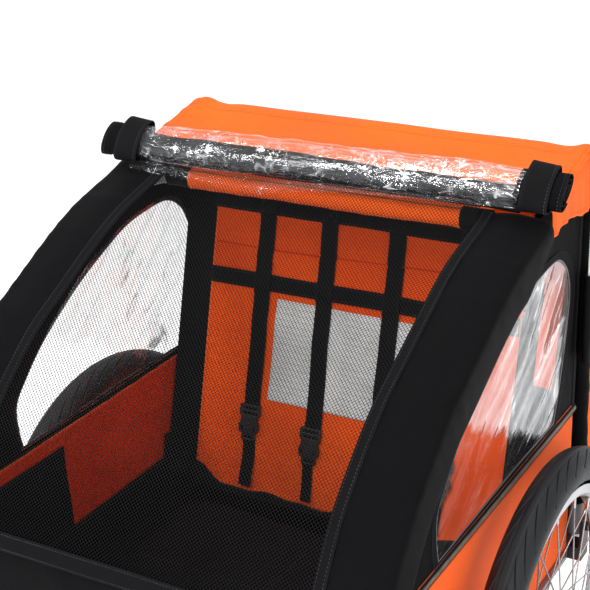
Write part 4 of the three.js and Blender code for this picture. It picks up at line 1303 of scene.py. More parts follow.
# ------------------------------------------------------------------ seat
def seat():
    nx, nh = 120, 100
    xs = np.linspace(-SEAT_HALF, SEAT_HALF, nx)
    hs = np.linspace(0, 492, nh)
    X, H = np.meshgrid(xs, hs, indexing="ij")
    P0 = on_seat(X, H, 0.0)
    side = 1 - (X / SEAT_HALF) ** 2
    sag = 7.0 * np.clip(side, 0, 1) ** 0.8 * np.sin(np.pi * np.clip(H / 492, 0, 1)) ** 0.7
    bands = np.exp(-((H - 409) / 14) ** 2) + np.exp(-((H - 303) / 14) ** 2)
    sag = sag * (1 - 0.25 * bands)
    r = ripple(P0, 91, 16, 60, 300)
    c1 = creases(P0, 93, (0.30, 0.1, 1.0), 92, 4.0, 100) * np.clip(side * 2, 0, 1)
    c2 = creases(P0, 95, (1.0, 0, 0.45), 80, 5.0, 90) * np.clip((250 - H) / 200, 0, 1) * np.clip(side * 2, 0, 1)
    line = np.exp(-((H - 353 - 0.02 * X) / 2.2) ** 2)
    D = -1.0 - sag + (1.2 * r + 2.0 * c1 + 1.6 * c2) * np.clip(side * 3, 0, 1) - 3.4 * line * np.clip(side * 3, 0, 1)
    D = np.minimum(D, -0.4)
    P = on_seat(X, H, D)
    o = grid("seat_back", P, "orange_in", thick=1.1, offset=-1.0)
    st = []
    for x in (-SEAT_HALF + 4, SEAT_HALF - 4):
        k = np.argmin(np.abs(xs - x))
        st.append(stitches("st", P[k] + np.array([0, -0.9, 0.2]), (0, -1, 0.2), mats="thread_o"))
    # a thin darker red tube along the seat's crease line: painted shade in the crease
    xf = np.linspace(-SEAT_HALF + 6, SEAT_HALF - 6, 90)
    hf = 353 + 0.02 * xf + 1.5 * np.sin(xf * 0.017)
    jf = np.clip(np.round((xf + SEAT_HALF) / (2 * SEAT_HALF) * (nx - 1)).astype(int), 0, nx - 1)
    df = D[jf, np.clip(np.round(hf / 492 * (nh - 1)).astype(int), 0, nh - 1)]
    st.append(sweep("crease", on_seat(xf, hf, df + 0.75), circle(0.9, 6), "orange_side"))
    o = join("seat_back", [o] + st)
    bend_back(o)
    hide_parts("seat_back")

    def depth_at(x, h):
        i = np.clip((np.asarray(x, float) + SEAT_HALF) / (2 * SEAT_HALF) * (nx - 1), 0, nx - 1.001)
        j = np.clip(np.asarray(h, float) / 492 * (nh - 1), 0, nh - 1.001)
        i0, j0 = i.astype(int), j.astype(int)
        fi, fj = i - i0, j - j0
        return (D[i0, j0] * (1 - fi) * (1 - fj) + D[i0 + 1, j0] * fi * (1 - fj) + D[i0, j0 + 1] * (1 - fi) * fj + D[i0 + 1, j0 + 1] * fi * fj)

    # black flap sewn across the foot of the seat, turned up towards its corners
    fx = np.linspace(-SEAT_HALF - 2, SEAT_HALF + 2, 120)
    rise = 3.0 + 21.0 * np.exp(-((SEAT_HALF - np.abs(fx)) / 34.0) ** 2) + 2.2 * np.sin(fx * 0.045) + 1.4 * np.sin(fx * 0.11 + 1.0)
    FH = -8.0 + (rise + 8.0)[:, None] * np.linspace(0, 1, 9)[None, :]
    FX = np.repeat(fx[:, None], 9, axis=1)
    FD = depth_at(np.clip(FX, -SEAT_HALF, SEAT_HALF), np.clip(FH, 0, 490)) + 1.5 + 0.8 * np.sin(FX * 0.06)
    flap = grid("seat_flap", on_seat(FX, FH, FD), "black_in", thick=1.2)
    flap = join("seat_flap", [flap, stitches("st", on_seat(FX[:, 7], FH[:, 7], FD[:, 7] + 0.8), (0, -1, 0.2))])
    bend_back(flap)
    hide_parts("seat_back")

    # gussets from the seat's edge to the side wall
    for sgn, sd in ((1, "left"), (-1, "right")):
        gx = np.linspace(SEAT_HALF - 1.5, PANEL_X - 2.2, 14)
        gh = np.linspace(-2, 492, 60)
        GX, GH = np.meshgrid(gx, gh, indexing="ij")
        kk = (GX - gx[0]) / (gx[-1] - gx[0])
        q0 = on_seat(GX, GH, 0)
        gd = -2.4 - 9.0 * np.sin(np.pi * kk) ** 0.8 + 1.2 * ripple(q0, 97, 12, 50, 200) * np.sin(np.pi * kk)
        G = on_seat(GX, GH, gd)
        G[..., 0] *= sgn
        # painted light: on the left gusset, faces high up and near the side wall take the orange seat cloth where they
        # are lit
        lit = (GX[:-1, :-1] > 250) & (GH[:-1, :-1] > 228) & (sgn > 0)
        g = grid("seat_gusset_" + sd, G, ["black_in", "orange_in"], thick=0.9, midx=lit.astype(int).ravel())
        bend_back(g)
        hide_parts("seat_back")

    # wide straps across
    for name, h0, h1 in (("seat_strap_upper", 398, 420), ("seat_strap_lower", 292, 315)):
        x = np.linspace(-SEAT_HALF + 0.5, SEAT_HALF - 0.5, 120)
        hh = np.linspace(h0, h1, 9)
        X2, H2 = np.meshgrid(x, hh, indexing="ij")
        wob = 0.9 * ripple(np.stack([X2, X2 * 0, X2 * 0], -1), int(h0), 8, 80, 300)
        H2 = H2 + wob
        d = depth_at(X2, H2.clip(0, 491)) * 0.55 + depth_at(X2, np.full_like(H2, (h0 + h1) / 2)) * 0.45 + 1.6 + 0.35 * np.sin(np.pi * (H2 - h0) / (h1 - h0))
        T = on_seat(X2, H2, d)
        s_ = grid(name, T, "web", thick=1.7, offset=0.0, edge_mm=1.8)
        ss = [stitches("st", T[:, k_] + np.array([0, -1.1, 0.3]), (0, -1, 0.2), mats="thread") for k_ in (1, 7)]
        s_ = join(name, [s_] + ss)
        bend_back(s_)
        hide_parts(name)

    # blank label with a stitched edge
    x = np.linspace(-125, 125, 90)
    hh = np.linspace(138, 282, 50)
    X3, H3 = np.meshgrid(x, hh, indexing="ij")
    q3 = on_seat(X3, H3, 0)
    d = depth_at(X3, H3) + 0.75 + 0.5 * np.clip(ripple(q3, 101, 10, 40, 160), 0, 2)
    L3 = on_seat(X3, H3, d)
    lab = grid("care_label", L3, "label", thick=0.4, offset=0.0)
    st = [stitches("st", L3[:, k_] + np.array([0, -0.4, 0.1]), (0, -1, 0.2), step=3.2, length=2.0, width=0.5, mats="label") for k_ in (1, 48)]
    st += [stitches("st", L3[k_] + np.array([0, -0.4, 0.1]), (0, -1, 0.2), step=3.2, length=2.0, width=0.5, mats="label") for k_ in (1, 88)]
    lab = join("care_label", [lab] + st)
    bend_back(lab)
    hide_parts("care_label")

    # shoulder straps: webbing that lies over the seat and the wide straps, a buckle low down, and a loose tail
    for k, x0 in enumerate(STRAP_X):
        hb = 87 if k % 2 else 101
        h = np.linspace(419, hb + 6, 80)
        xx = x0 + 1.6 * np.sin(h / 70.0 + k) + 0.010 * (h - 250) * (1 if k in (0, 3) else -1)
        over = 2.3 * (np.exp(-((h - 409) / 13) ** 4) + np.exp(-((h - 303.5) / 13) ** 4))
        d = depth_at(xx, h) + 2.0 + over + 1.0 * np.sin(h / 38.0 + 1.7 * k) ** 2
        up_path = on_seat(xx, h, d)
        pieces = [strap("sw", up_path, 25.0, 1.7)]
        pieces.append(stitch_box(xx[3], 409, d[3] + 1.1))
        # adjuster end folded back through the ladder
        h2 = np.linspace(hb + 34, hb + 4, 14)
        d2 = depth_at(np.full(14, x0), h2) + 4.6 + 0.8 * np.sin((h2 - hb) / 9.0)
        pieces.append(strap("fold", on_seat(np.full(14, x0 + 1.2), h2, d2), 24.0, 1.6))
        low = np.linspace(hb - 8, 8, 26)
        dl = depth_at(np.full(26, x0), low.clip(1)) + 3.0 + 1.6 * np.sin(low / 14.0 + k)
        xl = x0 + 2.4 * np.sin(low / 26.0 + k * 1.3)
        pieces.append(strap("tail", on_seat(xl, low, dl), 16.0 if k % 2 else 20.0, 1.6))
        o = join("shoulder_strap_%d" % (k + 1), pieces)
        bend_back(o)
        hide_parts("shoulder_strap_%d" % (k + 1))
        bkl = buckle(x0, hb, float(depth_at(np.array([x0]), np.array([float(hb)]))[0]) + 3.2)
        bkl.name = "strap_buckle_%d" % (k + 1)
        bend_back(bkl)
        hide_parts("strap_buckle_%d" % (k + 1))


def stitch_box(x0, h0, d):
    """The box with a cross that holds a strap to the wide strap under it."""
    pts = [(-9, -8), (9, -8), (9, 8), (-9, 8), (-9, -8), (9, 8)]
    path = np.array([on_seat(x0 + a, h0 + b, d) for a, b in pts])
    out = []
    for i in range(len(path) - 1):
        out.append(stitches("sb", path[i:i + 2], (0, -1, 0.25), step=2.6, length=1.9, width=0.6))
    a = np.array([on_seat(x0 - 9, h0 + 8, d), on_seat(x0 + 9, h0 - 8, d)])
    out.append(stitches("sb", a, (0, -1, 0.25), step=2.6, length=1.9, width=0.6))
    return join("sb", out)


def slab(outline, d0, d1, x0, h0, hole=None, bevel=0.9):
    """A moulded plate on the seat plane from an (x, h) outline, with rounded edges."""
    bm = bmesh.new()
    rings = [outline] + (hole or [])
    loops = []
    for r in rings:
        vs = [bm.verts.new(Vector(W(on_seat(x0 + a, h0 + b, d1)))) for a, b in r]
        loops += [bm.edges.new((vs[i], vs[(i + 1) % len(vs)])) for i in range(len(vs))]
    bmesh.ops.triangle_fill(bm, use_beauty=True, use_dissolve=True, edges=loops)
    faces = list(bm.faces)
    ex = bmesh.ops.extrude_face_region(bm, geom=faces)
    dv = Vector(W(on_seat(0, 0, d0))) - Vector(W(on_seat(0, 0, d1)))
    for v in [g for g in ex["geom"] if isinstance(g, bmesh.types.BMVert)]:
        v.co += dv
    bmesh.ops.recalc_face_normals(bm, faces=bm.faces)
    me = bpy.data.meshes.new("slab")
    bm.to_mesh(me)
    bm.free()
    o = bpy.data.objects.new("slab", me)
    bpy.context.scene.collection.objects.link(o)
    me.materials.append(MATS["plastic"])
    b = o.modifiers.new("b", "BEVEL")
    b.width, b.segments, b.limit_method, b.angle_limit = bevel * MM, 2, "ANGLE", math.radians(40)
    return o


def buckle(x0, h0, d):
    """Side-release buckle: ladder bar at the top, body with two side openings for the prongs, and the lower loop."""
    body = [(-11, 9), (-13, 6), (-12.4, 1), (-15.2, -3), (-15.6, -9), (-13.4, -15), (-8, -17.5), (8, -17.5), (13.4, -15), (15.6, -9), (15.2, -3), (12.4, 1), (13, 6), (11, 9)]
    prong = [[(-11.6, -4.5), (-11.8, -10), (-8.4, -12.2), (-7.6, -4.5)], [(7.6, -4.5), (8.4, -12.2), (11.8, -10), (11.6, -4.5)]]
    a = slab(body, d - 1.2, d + 4.4, x0, h0, prong, 1.1)
    ladder = [(-15.5, 26), (-16.2, 23), (-16.2, 10), (-14, 8), (14, 8), (16.2, 10), (16.2, 23), (15.5, 26)]
    slots = [[(-12.4, 22.6), (-12.4, 18.8), (12.4, 18.8), (12.4, 22.6)], [(-12.4, 15.2), (-12.4, 11.4), (12.4, 11.4), (12.4, 15.2)]]
    b = slab(ladder, d - 0.4, d + 3.4, x0, h0, slots, 0.8)
    ridge = [slab([(-5.5, y), (5.5, y), (5.5, y + 1.5), (-5.5, y + 1.5)], d + 4.2, d + 5.1, x0, h0, None, 0.3) for y in (-2, -5.5, -9)]
    tail = slab([(-10.5, -17), (-11, -24), (-9, -26.5), (9, -26.5), (11, -24), (10.5, -17)], d - 0.6, d + 2.6, x0, h0, [[(-7.6, -20), (-7.6, -23.4), (7.6, -23.4), (7.6, -20)]], 0.7)
    return join("buckle", [a, b] + ridge + [tail])


seat()


# ------------------------------------------------------------------ floor, cushion, nose
def sim_pad(o, pressure=4.0, cap=7.0, frames_=20, voxel=6.0, pin=None):
    """Inflates a closed mesh with cloth under pressure, no point moving further than cap millimetres."""
    with bpy.context.temp_override(object=o, active_object=o, selected_objects=[o]):
        r = o.modifiers.new("remesh", "REMESH")
        r.mode, r.voxel_size, r.use_smooth_shade = "VOXEL", voxel * MM, True
        bpy.ops.object.modifier_apply(modifier=r.name)
    me = o.data
    rest = np.zeros(len(me.vertices) * 3, np.float32)
    me.vertices.foreach_get("co", rest)
    rest = rest.reshape(-1, 3)
    c = o.modifiers.new("cloth", "CLOTH")
    st = c.settings
    st.quality, st.mass = 5, 0.25
    st.tension_stiffness = st.compression_stiffness = 18
    st.shear_stiffness, st.bending_stiffness = 6, 1.2
    st.use_pressure, st.uniform_pressure_force = True, pressure
    st.effector_weights.gravity = 0.0
    c.collision_settings.use_collision = False
    c.point_cache.frame_start, c.point_cache.frame_end = 1, frames_
    sc = bpy.context.scene
    for f in range(1, frames_ + 1):
        sc.frame_set(f)
    dg = bpy.context.evaluated_depsgraph_get()
    ev = o.evaluated_get(dg)
    got = np.zeros(len(ev.data.vertices) * 3, np.float32)
    ev.data.vertices.foreach_get("co", got)
    got = got.reshape(-1, 3)
    o.modifiers.remove(c)
    sc.frame_set(1)
    if got.shape == rest.shape:
        mv = got - rest
        ln = np.linalg.norm(mv, axis=1, keepdims=True)
        lim = cap * MM
        mv = np.where(ln > 1e-9, mv / np.maximum(ln, 1e-9) * (lim * np.tanh(ln / lim)), 0)
        me.vertices.foreach_set("co", (rest + mv).ravel())
        me.update()
    return o


def attrs(o):
    """Cloth coordinates for a mesh that was remeshed: its own place, in metres."""
    me = o.data
    c = np.zeros(len(me.vertices) * 3, np.float32)
    me.vertices.foreach_get("co", c)
    c = c.reshape(-1, 3)
    for n_ in ("cloth", "edge"):
        if n_ in me.attributes:
            me.attributes.remove(me.attributes[n_])
    a = me.attributes.new("cloth", "FLOAT_VECTOR", "POINT")
    a.data.foreach_set("vector", np.column_stack([c[:, 0], c[:, 1] + c[:, 2], c[:, 2]]).astype(np.float32).ravel())
    a = me.attributes.new("edge", "FLOAT", "POINT")
    a.data.foreach_set("value", np.zeros(len(c), np.float32))


def cushion():
    # half-thickness shell of a bench pad, split by two sewn channels, that swells from a flat start
    x = np.linspace(-243, 243, 90)
    y = np.linspace(-193, 58, 50)
    X, Y = np.meshgrid(x, y, indexing="ij")
    u, v = (X + 243) / 486, (Y + 193) / 251
    crown = np.clip(np.minimum(u, 1 - u) * 9, 0, 1) ** 0.5 * np.clip(np.minimum(v, 1 - v) * 6, 0, 1) ** 0.5
    top = 272 + 27 * crown
    bot = 258 - 5.5 * crown
    n0, n1 = X.shape
    V_ = np.concatenate([np.stack([X, Y, top], -1).reshape(-1, 3), np.stack([X, Y, bot], -1).reshape(-1, 3)])
    f = grid_faces(n0, n1)
    F = [list(q) for q in f] + [list(q[::-1] + n0 * n1) for q in f]
    idx = np.arange(n0 * n1).reshape(n0, n1)
    rim = list(idx[0, :]) + list(idx[1:, -1]) + list(idx[-1, -2::-1]) + list(idx[-2:0:-1, 0])
    for i in range(len(rim)):
        a, b = rim[i], rim[(i + 1) % len(rim)]
        F.append([b, a, a + n0 * n1, b + n0 * n1])
    o = mesh("seat_cushion", V_, F, "black_in")
    bm = bmesh.new(); bm.from_mesh(o.data)
    bmesh.ops.recalc_face_normals(bm, faces=bm.faces)
    bm.to_mesh(o.data); bm.free()
    sim_pad(o, 4.0, 6.0, 20, 6.0)
    me = o.data
    c = np.zeros(len(me.vertices) * 3, np.float32)
    me.vertices.foreach_get("co", c)
    c = c.reshape(-1, 3).astype(float)
    mmx, mmy, mmz = c[:, 0] / MM, c[:, 1] / MM - OY, c[:, 2] / MM
    up = np.clip((mmz - 268) / 14, 0, 1)
    seam = np.exp(-((mmx - 0) / 4.5) ** 2) + 0.7 * np.exp(-((mmy + 128) / 4.0) ** 2)
    q = np.column_stack([mmx, mmy, mmz])
    mmz = mmz - up * (5.5 * np.clip(seam, 0, 1.2)) + up * (0.9 * ripple(q, 111, 14, 50, 240) + 1.6 * creases(q, 113, (1, 0.5, 0), 70, 4, 90))
    mmz = np.clip(mmz, 251.8, 306.5)
    c = np.column_stack([np.clip(mmx, -246, 246), np.clip(mmy, -197, 59), mmz])
    me.vertices.foreach_set("co", W(c).astype(np.float32).ravel())
    me.update()
    me.polygons.foreach_set("use_smooth", [True] * len(me.polygons))
    attrs(o)
    # stitching along the channels
    xx = np.linspace(-232, 232, 120)
    dg = bpy.context.evaluated_depsgraph_get()
    ev = o.evaluated_get(dg)

    def zat(a, b):
        out = []
        for p_, q_ in zip(a, b):
            hit, loc, *_ = ev.ray_cast(Vector(W([p_, q_, 400.0])), Vector((0, 0, -1)))
            out.append(loc.z / MM if hit else 290.0)
        return np.array(out)
    rows = []
    for dx in (-3.4, 3.4):
        yy = np.linspace(-184, 50, 60)
        p_ = np.column_stack([np.full(60, dx), yy, zat(np.full(60, dx), yy) + 0.25])
        rows.append(stitches("st", p_, (0, 0, 1)))
    p_ = np.column_stack([xx, np.full(120, -131.5), zat(xx, np.full(120, -131.5)) + 0.25])
    rows.append(stitches("st", p_, (0, 0, 1)))
    # welt round the rim
    rim_pts = smooth_line(np.array([(-240, -150, 265), (-240, 20, 265), (-226, 52, 265), (0, 57.2, 265), (226, 52, 265), (240, 20, 265), (240, -150, 265), (226, -187, 265), (0, -192.5, 265), (-226, -187, 265)], float), 260, closed=True)
    o2 = sweep("welt", rim_pts, circle(2.2, 8), "binding", caps=False)
    o = join("seat_cushion", [o, o2] + rows)
    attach(o, "base_frame"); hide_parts("seat_cushion")


cushion()


def floor_and_nose():
    x = np.linspace(-271, 271, 60)
    y = np.linspace(-407, 326, 80)
    X, Y = np.meshgrid(x, y, indexing="ij")
    q = np.stack([X, Y, X * 0], -1)
    sag = np.clip(1 - (X / 271) ** 2, 0, 1) * np.clip((Y + 407) / 60, 0, 1) * np.clip((326 - Y) / 60, 0, 1)
    rail = np.clip((np.abs(Y - 0) - 14) / 16, 0, 1)
    Z = 228.2 - 2.4 * sag * rail + 0.5 * ripple(q, 121, 14, 70, 300) * rail
    o = grid("floor_panel", np.stack([X, Y, Z], -1), "black_in", thick=1.2, offset=-1.0)
    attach(o, "base_frame"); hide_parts("floor_panel")

    # the floor cloth turns up over each rail and is sewn to the side lining
    for sgn, sd in ((1, "left"), (-1, "right")):
        ys = np.linspace(-380, 226, 120)
        sec = smooth_line(np.array([(243, 229.5), (247, 240), (252, 253), (258, 256.5), (268, 257.5), (275, 262), (278.2, 274), (279.4, 300), (279.8, 334)], float), 26)
        K = np.zeros((120, 26, 3))
        K[..., 1] = ys[:, None]
        K[..., 0], K[..., 2] = sec[None, :, 0], sec[None, :, 1]
        qq = K.copy()
        qq[..., 0] += sgn * 500
        K[..., 0] -= (0.8 + 0.8 * ripple(qq, 123, 12, 40, 200)) * np.linspace(0.2, 1, 26)[None, :] * np.clip((334 - K[..., 2]) / 30, 0, 1)
        K[..., 0] *= sgn
        sk = grid("floor_skirt_" + sd, K, "black_in", thick=1.0)
        sk = join("floor_skirt_" + sd, [sk, stitches("st", K[:, -2] + np.array([-0.9 * sgn, 0, 0]), (-sgn, 0, 0))])
        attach(sk, "base_frame")
        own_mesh(sk)
        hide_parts("floor_panel")

    i1 = np.argmin(np.abs(SURF - (-406, 474)).sum(1))
    low = SURF[i1 - 1:]
    line = resample(np.vstack([low, [(-409, 254)]]), 60)
    xs = np.linspace(-221, 221, 80)
    P = np.zeros((80, 60, 3))
    d = 2.6
    P[..., 0] = xs[:, None]
    P[..., 1:] = front(line, d)[None]
    P[..., 1] = np.maximum(P[..., 1], -411.0)
    q = P.copy()
    k = np.clip(1 - (P[..., 0] / 221) ** 2, 0, 1) * np.clip((P[..., 2] - 254) / 30, 0, 1)
    P[..., 1] += k * (2.4 + 1.2 * ripple(q, 131, 14, 60, 260) - 2.2 * creases(q, 133, (0.5, 0, 1), 84, 4, 110))
    o = grid("nose_panel", P, "black", thick=1.0, offset=0.0)
    st = []
    for kz in (2, 56):
        st.append(stitches("st", P[:, kz] + np.array([0, -0.9, 0]), (0, -1, 0)))
    # a sewn stiffening band halfway down
    j = 30
    T = P[:, j - 4:j + 5].copy()
    T[..., 1] -= 1.1
    st.append(grid("band", T, "binding", thick=0.8, offset=0.0))
    st.append(stitches("st", T[:, 1] + np.array([0, -0.8, 0]), (0, -1, 0)))
    st.append(stitches("st", T[:, 7] + np.array([0, -0.8, 0]), (0, -1, 0)))
    o = join("nose_panel", [o] + st)
    fold_down(o)
    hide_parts("nose_panel")


floor_and_nose()


# ------------------------------------------------------------------ roof
def roof():
    top = smooth_line(np.array([(63, 796), (72, 800.5), (92, 804.5), (120, 809), (160, 815.5), (196, 820.6), (206, 822.8), (216, 824.0), (226, 822.4), (233, 818.6), (239, 812), (242, 806)], float), 70)
    half = 291.0
    # across: flap bottom, rounded edge, the top, and down the other side
    nx = 161
    u = np.linspace(-1, 1, nx)
    flapn = 26
    P = np.zeros((nx + 2 * flapn, len(top), 3))
    along = top[:, 0]
    base = np.concatenate([np.zeros(flapn), (u + 1) / 2, np.ones(flapn)])
    xs = half * u
    for i in range(nx):
        P[flapn + i, :, 0] = xs[i]
        P[flapn + i, :, 1:] = top
    # the rear corners ride up over the bends of the hoop, with a dip beside them
    X = P[flapn:flapn + nx, :, 0]
    Y = P[flapn:flapn + nx, :, 1]
    ridge = np.exp(-((Y - 214) / 30) ** 2)
    bumpx = np.exp(-((np.abs(X) - 279) / 11) ** 2)
    dip = np.exp(-((np.abs(X) - 248) / 17) ** 2)
    lift = ridge * (4.8 * bumpx - 2.6 * dip)
    mid = np.clip((Y - 66) / 40, 0, 1) * np.clip((206 - Y) / 40, 0, 1) * np.clip((half - np.abs(X)) / 40, 0, 1)
    q = P[flapn:flapn + nx].copy()
    sag = mid * (5.0 + 1.6 * ripple(q, 141, 16, 80, 320) - 2.2 * creases(q, 143, (1.0, 0.35, 0), 120, 4, 130))
    near = np.clip((np.abs(X) - 200) / 80, 0, 1) * np.clip((Y - 66) / 30, 0, 1) * np.clip((214 - Y) / 30, 0, 1)
    folds = near * 2.4 * creases(q, 147, (0.7, 1.0, 0), 34, 3, 60)
    slump = 0.9 * ripple(q, 149, 12, 60, 220) * np.clip((half - np.abs(X)) / 30, 0.15, 1)
    P[flapn:flapn + nx, :, 2] += 3.0 * (1 - X / 291) * np.exp(-((Y - 216) / 70) ** 2)
    P[flapn:flapn + nx, :, 2] += lift - sag + folds + slump * (1 - 0.5 * ridge)
    # flaps: down over the edge of the side wall, with soft upright folds and an uneven lower edge
    y_edge = np.array([40, 61, 70, 88, 115, 139, 155, 172, 205, 222, 245], float)
    z_low = np.array([752, 759, 760, 764.5, 766, 763, 757.5, 755, 757, 758, 760], float)
    for sgn, rows in ((-1, range(flapn - 1, -1, -1)), (1, range(flapn + nx, nx + 2 * flapn))):
        edge = P[flapn if sgn < 0 else flapn + nx - 1]
        zl = np.interp(edge[:, 1], y_edge, z_low)
        for k, row in enumerate(rows):
            t = (k + 1) / flapn
            q = edge.copy()
            round_ = min(1.0, t * 3.2)
            q[:, 0] = sgn * (half + 3.6 * math.sin(round_ * math.pi / 2))
            z = edge[:, 2] + (zl - edge[:, 2]) * t
            wave = creases(np.column_stack([q[:, 0] * 0 + sgn * 40, edge[:, 1], z]), 151 if sgn > 0 else 157, (0, 1.0, 0.12), 26, 2.2, 60)
            q[:, 0] += sgn * (3.4 * wave * t + 1.2 * t)
            q[:, 2] = z
            q[:, 1] = edge[:, 1] + np.where(edge[:, 1] > 214, (214 - edge[:, 1]) * 0.35 * t, 0) + np.where(edge[:, 1] < 80, -4.0 * t, 0)
            P[row] = q
    o = grid("roof_panel", P, "orange", thick=1.1, offset=0.0, edge_mm=3.0)
    st = []
    for i, sgn in ((flapn + 2, -1), (flapn + nx - 3, 1)):
        st.append(stitches("st", P[i] + np.array([0, 0, 0.9]), (0.2 * sgn, 0, 1), mats="thread_o"))
    for row, sgn in ((2, -1), (nx + 2 * flapn - 3, 1)):
        st.append(stitches("st", P[row] + np.array([0.9 * sgn, 0, 0]), (sgn, 0, 0), mats="thread_o"))
    st.append(stitches("st", P[flapn:flapn + nx, -3] + np.array([0, 0.7, 0.7]), (0, 0.7, 0.7), mats="thread_o"))
    st.append(stitches("st", P[flapn:flapn + nx, 26 + 24] + np.array([0, 0, 0.9]), (0, 0, 1), mats="thread_o"))
    # welt along each side edge, where the top is sewn to the flap
    for i, sgn in ((flapn, -1), (flapn + nx - 1, 1)):
        st.append(sweep("welt", P[i] + np.array([sgn * 1.4, 0, -0.6]), circle(1.7, 8), "orange"))
    o = join("roof_panel", [o] + st)
    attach(o, "front_hoop")
    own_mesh(o)
    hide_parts("roof_panel")


roof()


def roof_hem():
    """The roof's front hem, wrapped round the bow's top bar and stitched to itself."""
    a = np.linspace(math.radians(118), math.radians(118 + 352), 44)
    xs = np.linspace(-226, 226, 130)
    P = np.zeros((130, 44, 3))
    P[..., 0] = xs[:, None]
    qq = np.stack([P[..., 0], np.broadcast_to(30 * np.cos(a), (130, 44)), np.broadcast_to(30 * np.sin(a), (130, 44))], -1)
    r = 12.6 + 0.7 * ripple(qq, 241, 12, 30, 200) + 0.8 * creases(qq, 243, (1, 0.4, 0.2), 40, 3, 60)
    P[..., 1] = FRONT_BAR[0] + r * np.cos(a)[None, :]
    P[..., 2] = FRONT_BAR[1] + r * np.sin(a)[None, :]
    mid = np.abs(xs) < 192
    o = grid("roof_front_hem", P[mid], "orange", thick=0.9, offset=0.0)
    ends = [grid("end", P[(xs < -188)] , "binding", thick=1.3, offset=0.3), grid("end", P[(xs > 188)], "binding", thick=1.3, offset=0.3)]
    # web of cloth from the bar up to the roof's front edge
    k = np.linspace(0, 1, 14)
    T = np.zeros((130, 14, 3))
    T[..., 0] = xs[:, None]
    T[..., 1] = (52.0 + (66.0 - 52.0) * k)[None, :]
    T[..., 2] = (786.5 + (797.0 - 786.5) * k)[None, :] - 1.6 * np.sin(np.pi * k)[None, :]
    w_ = grid("w", T, "orange", thick=0.9, offset=0.0)
    st = [stitches("st", T[:, 2] + np.array([0, -0.3, 0.9]), (0, -0.4, 0.9), mats="thread_o")]
    o = join("roof_front_hem", [o, w_] + ends + st)
    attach(o, "front_hoop"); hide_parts("roof_panel")


roof_hem()


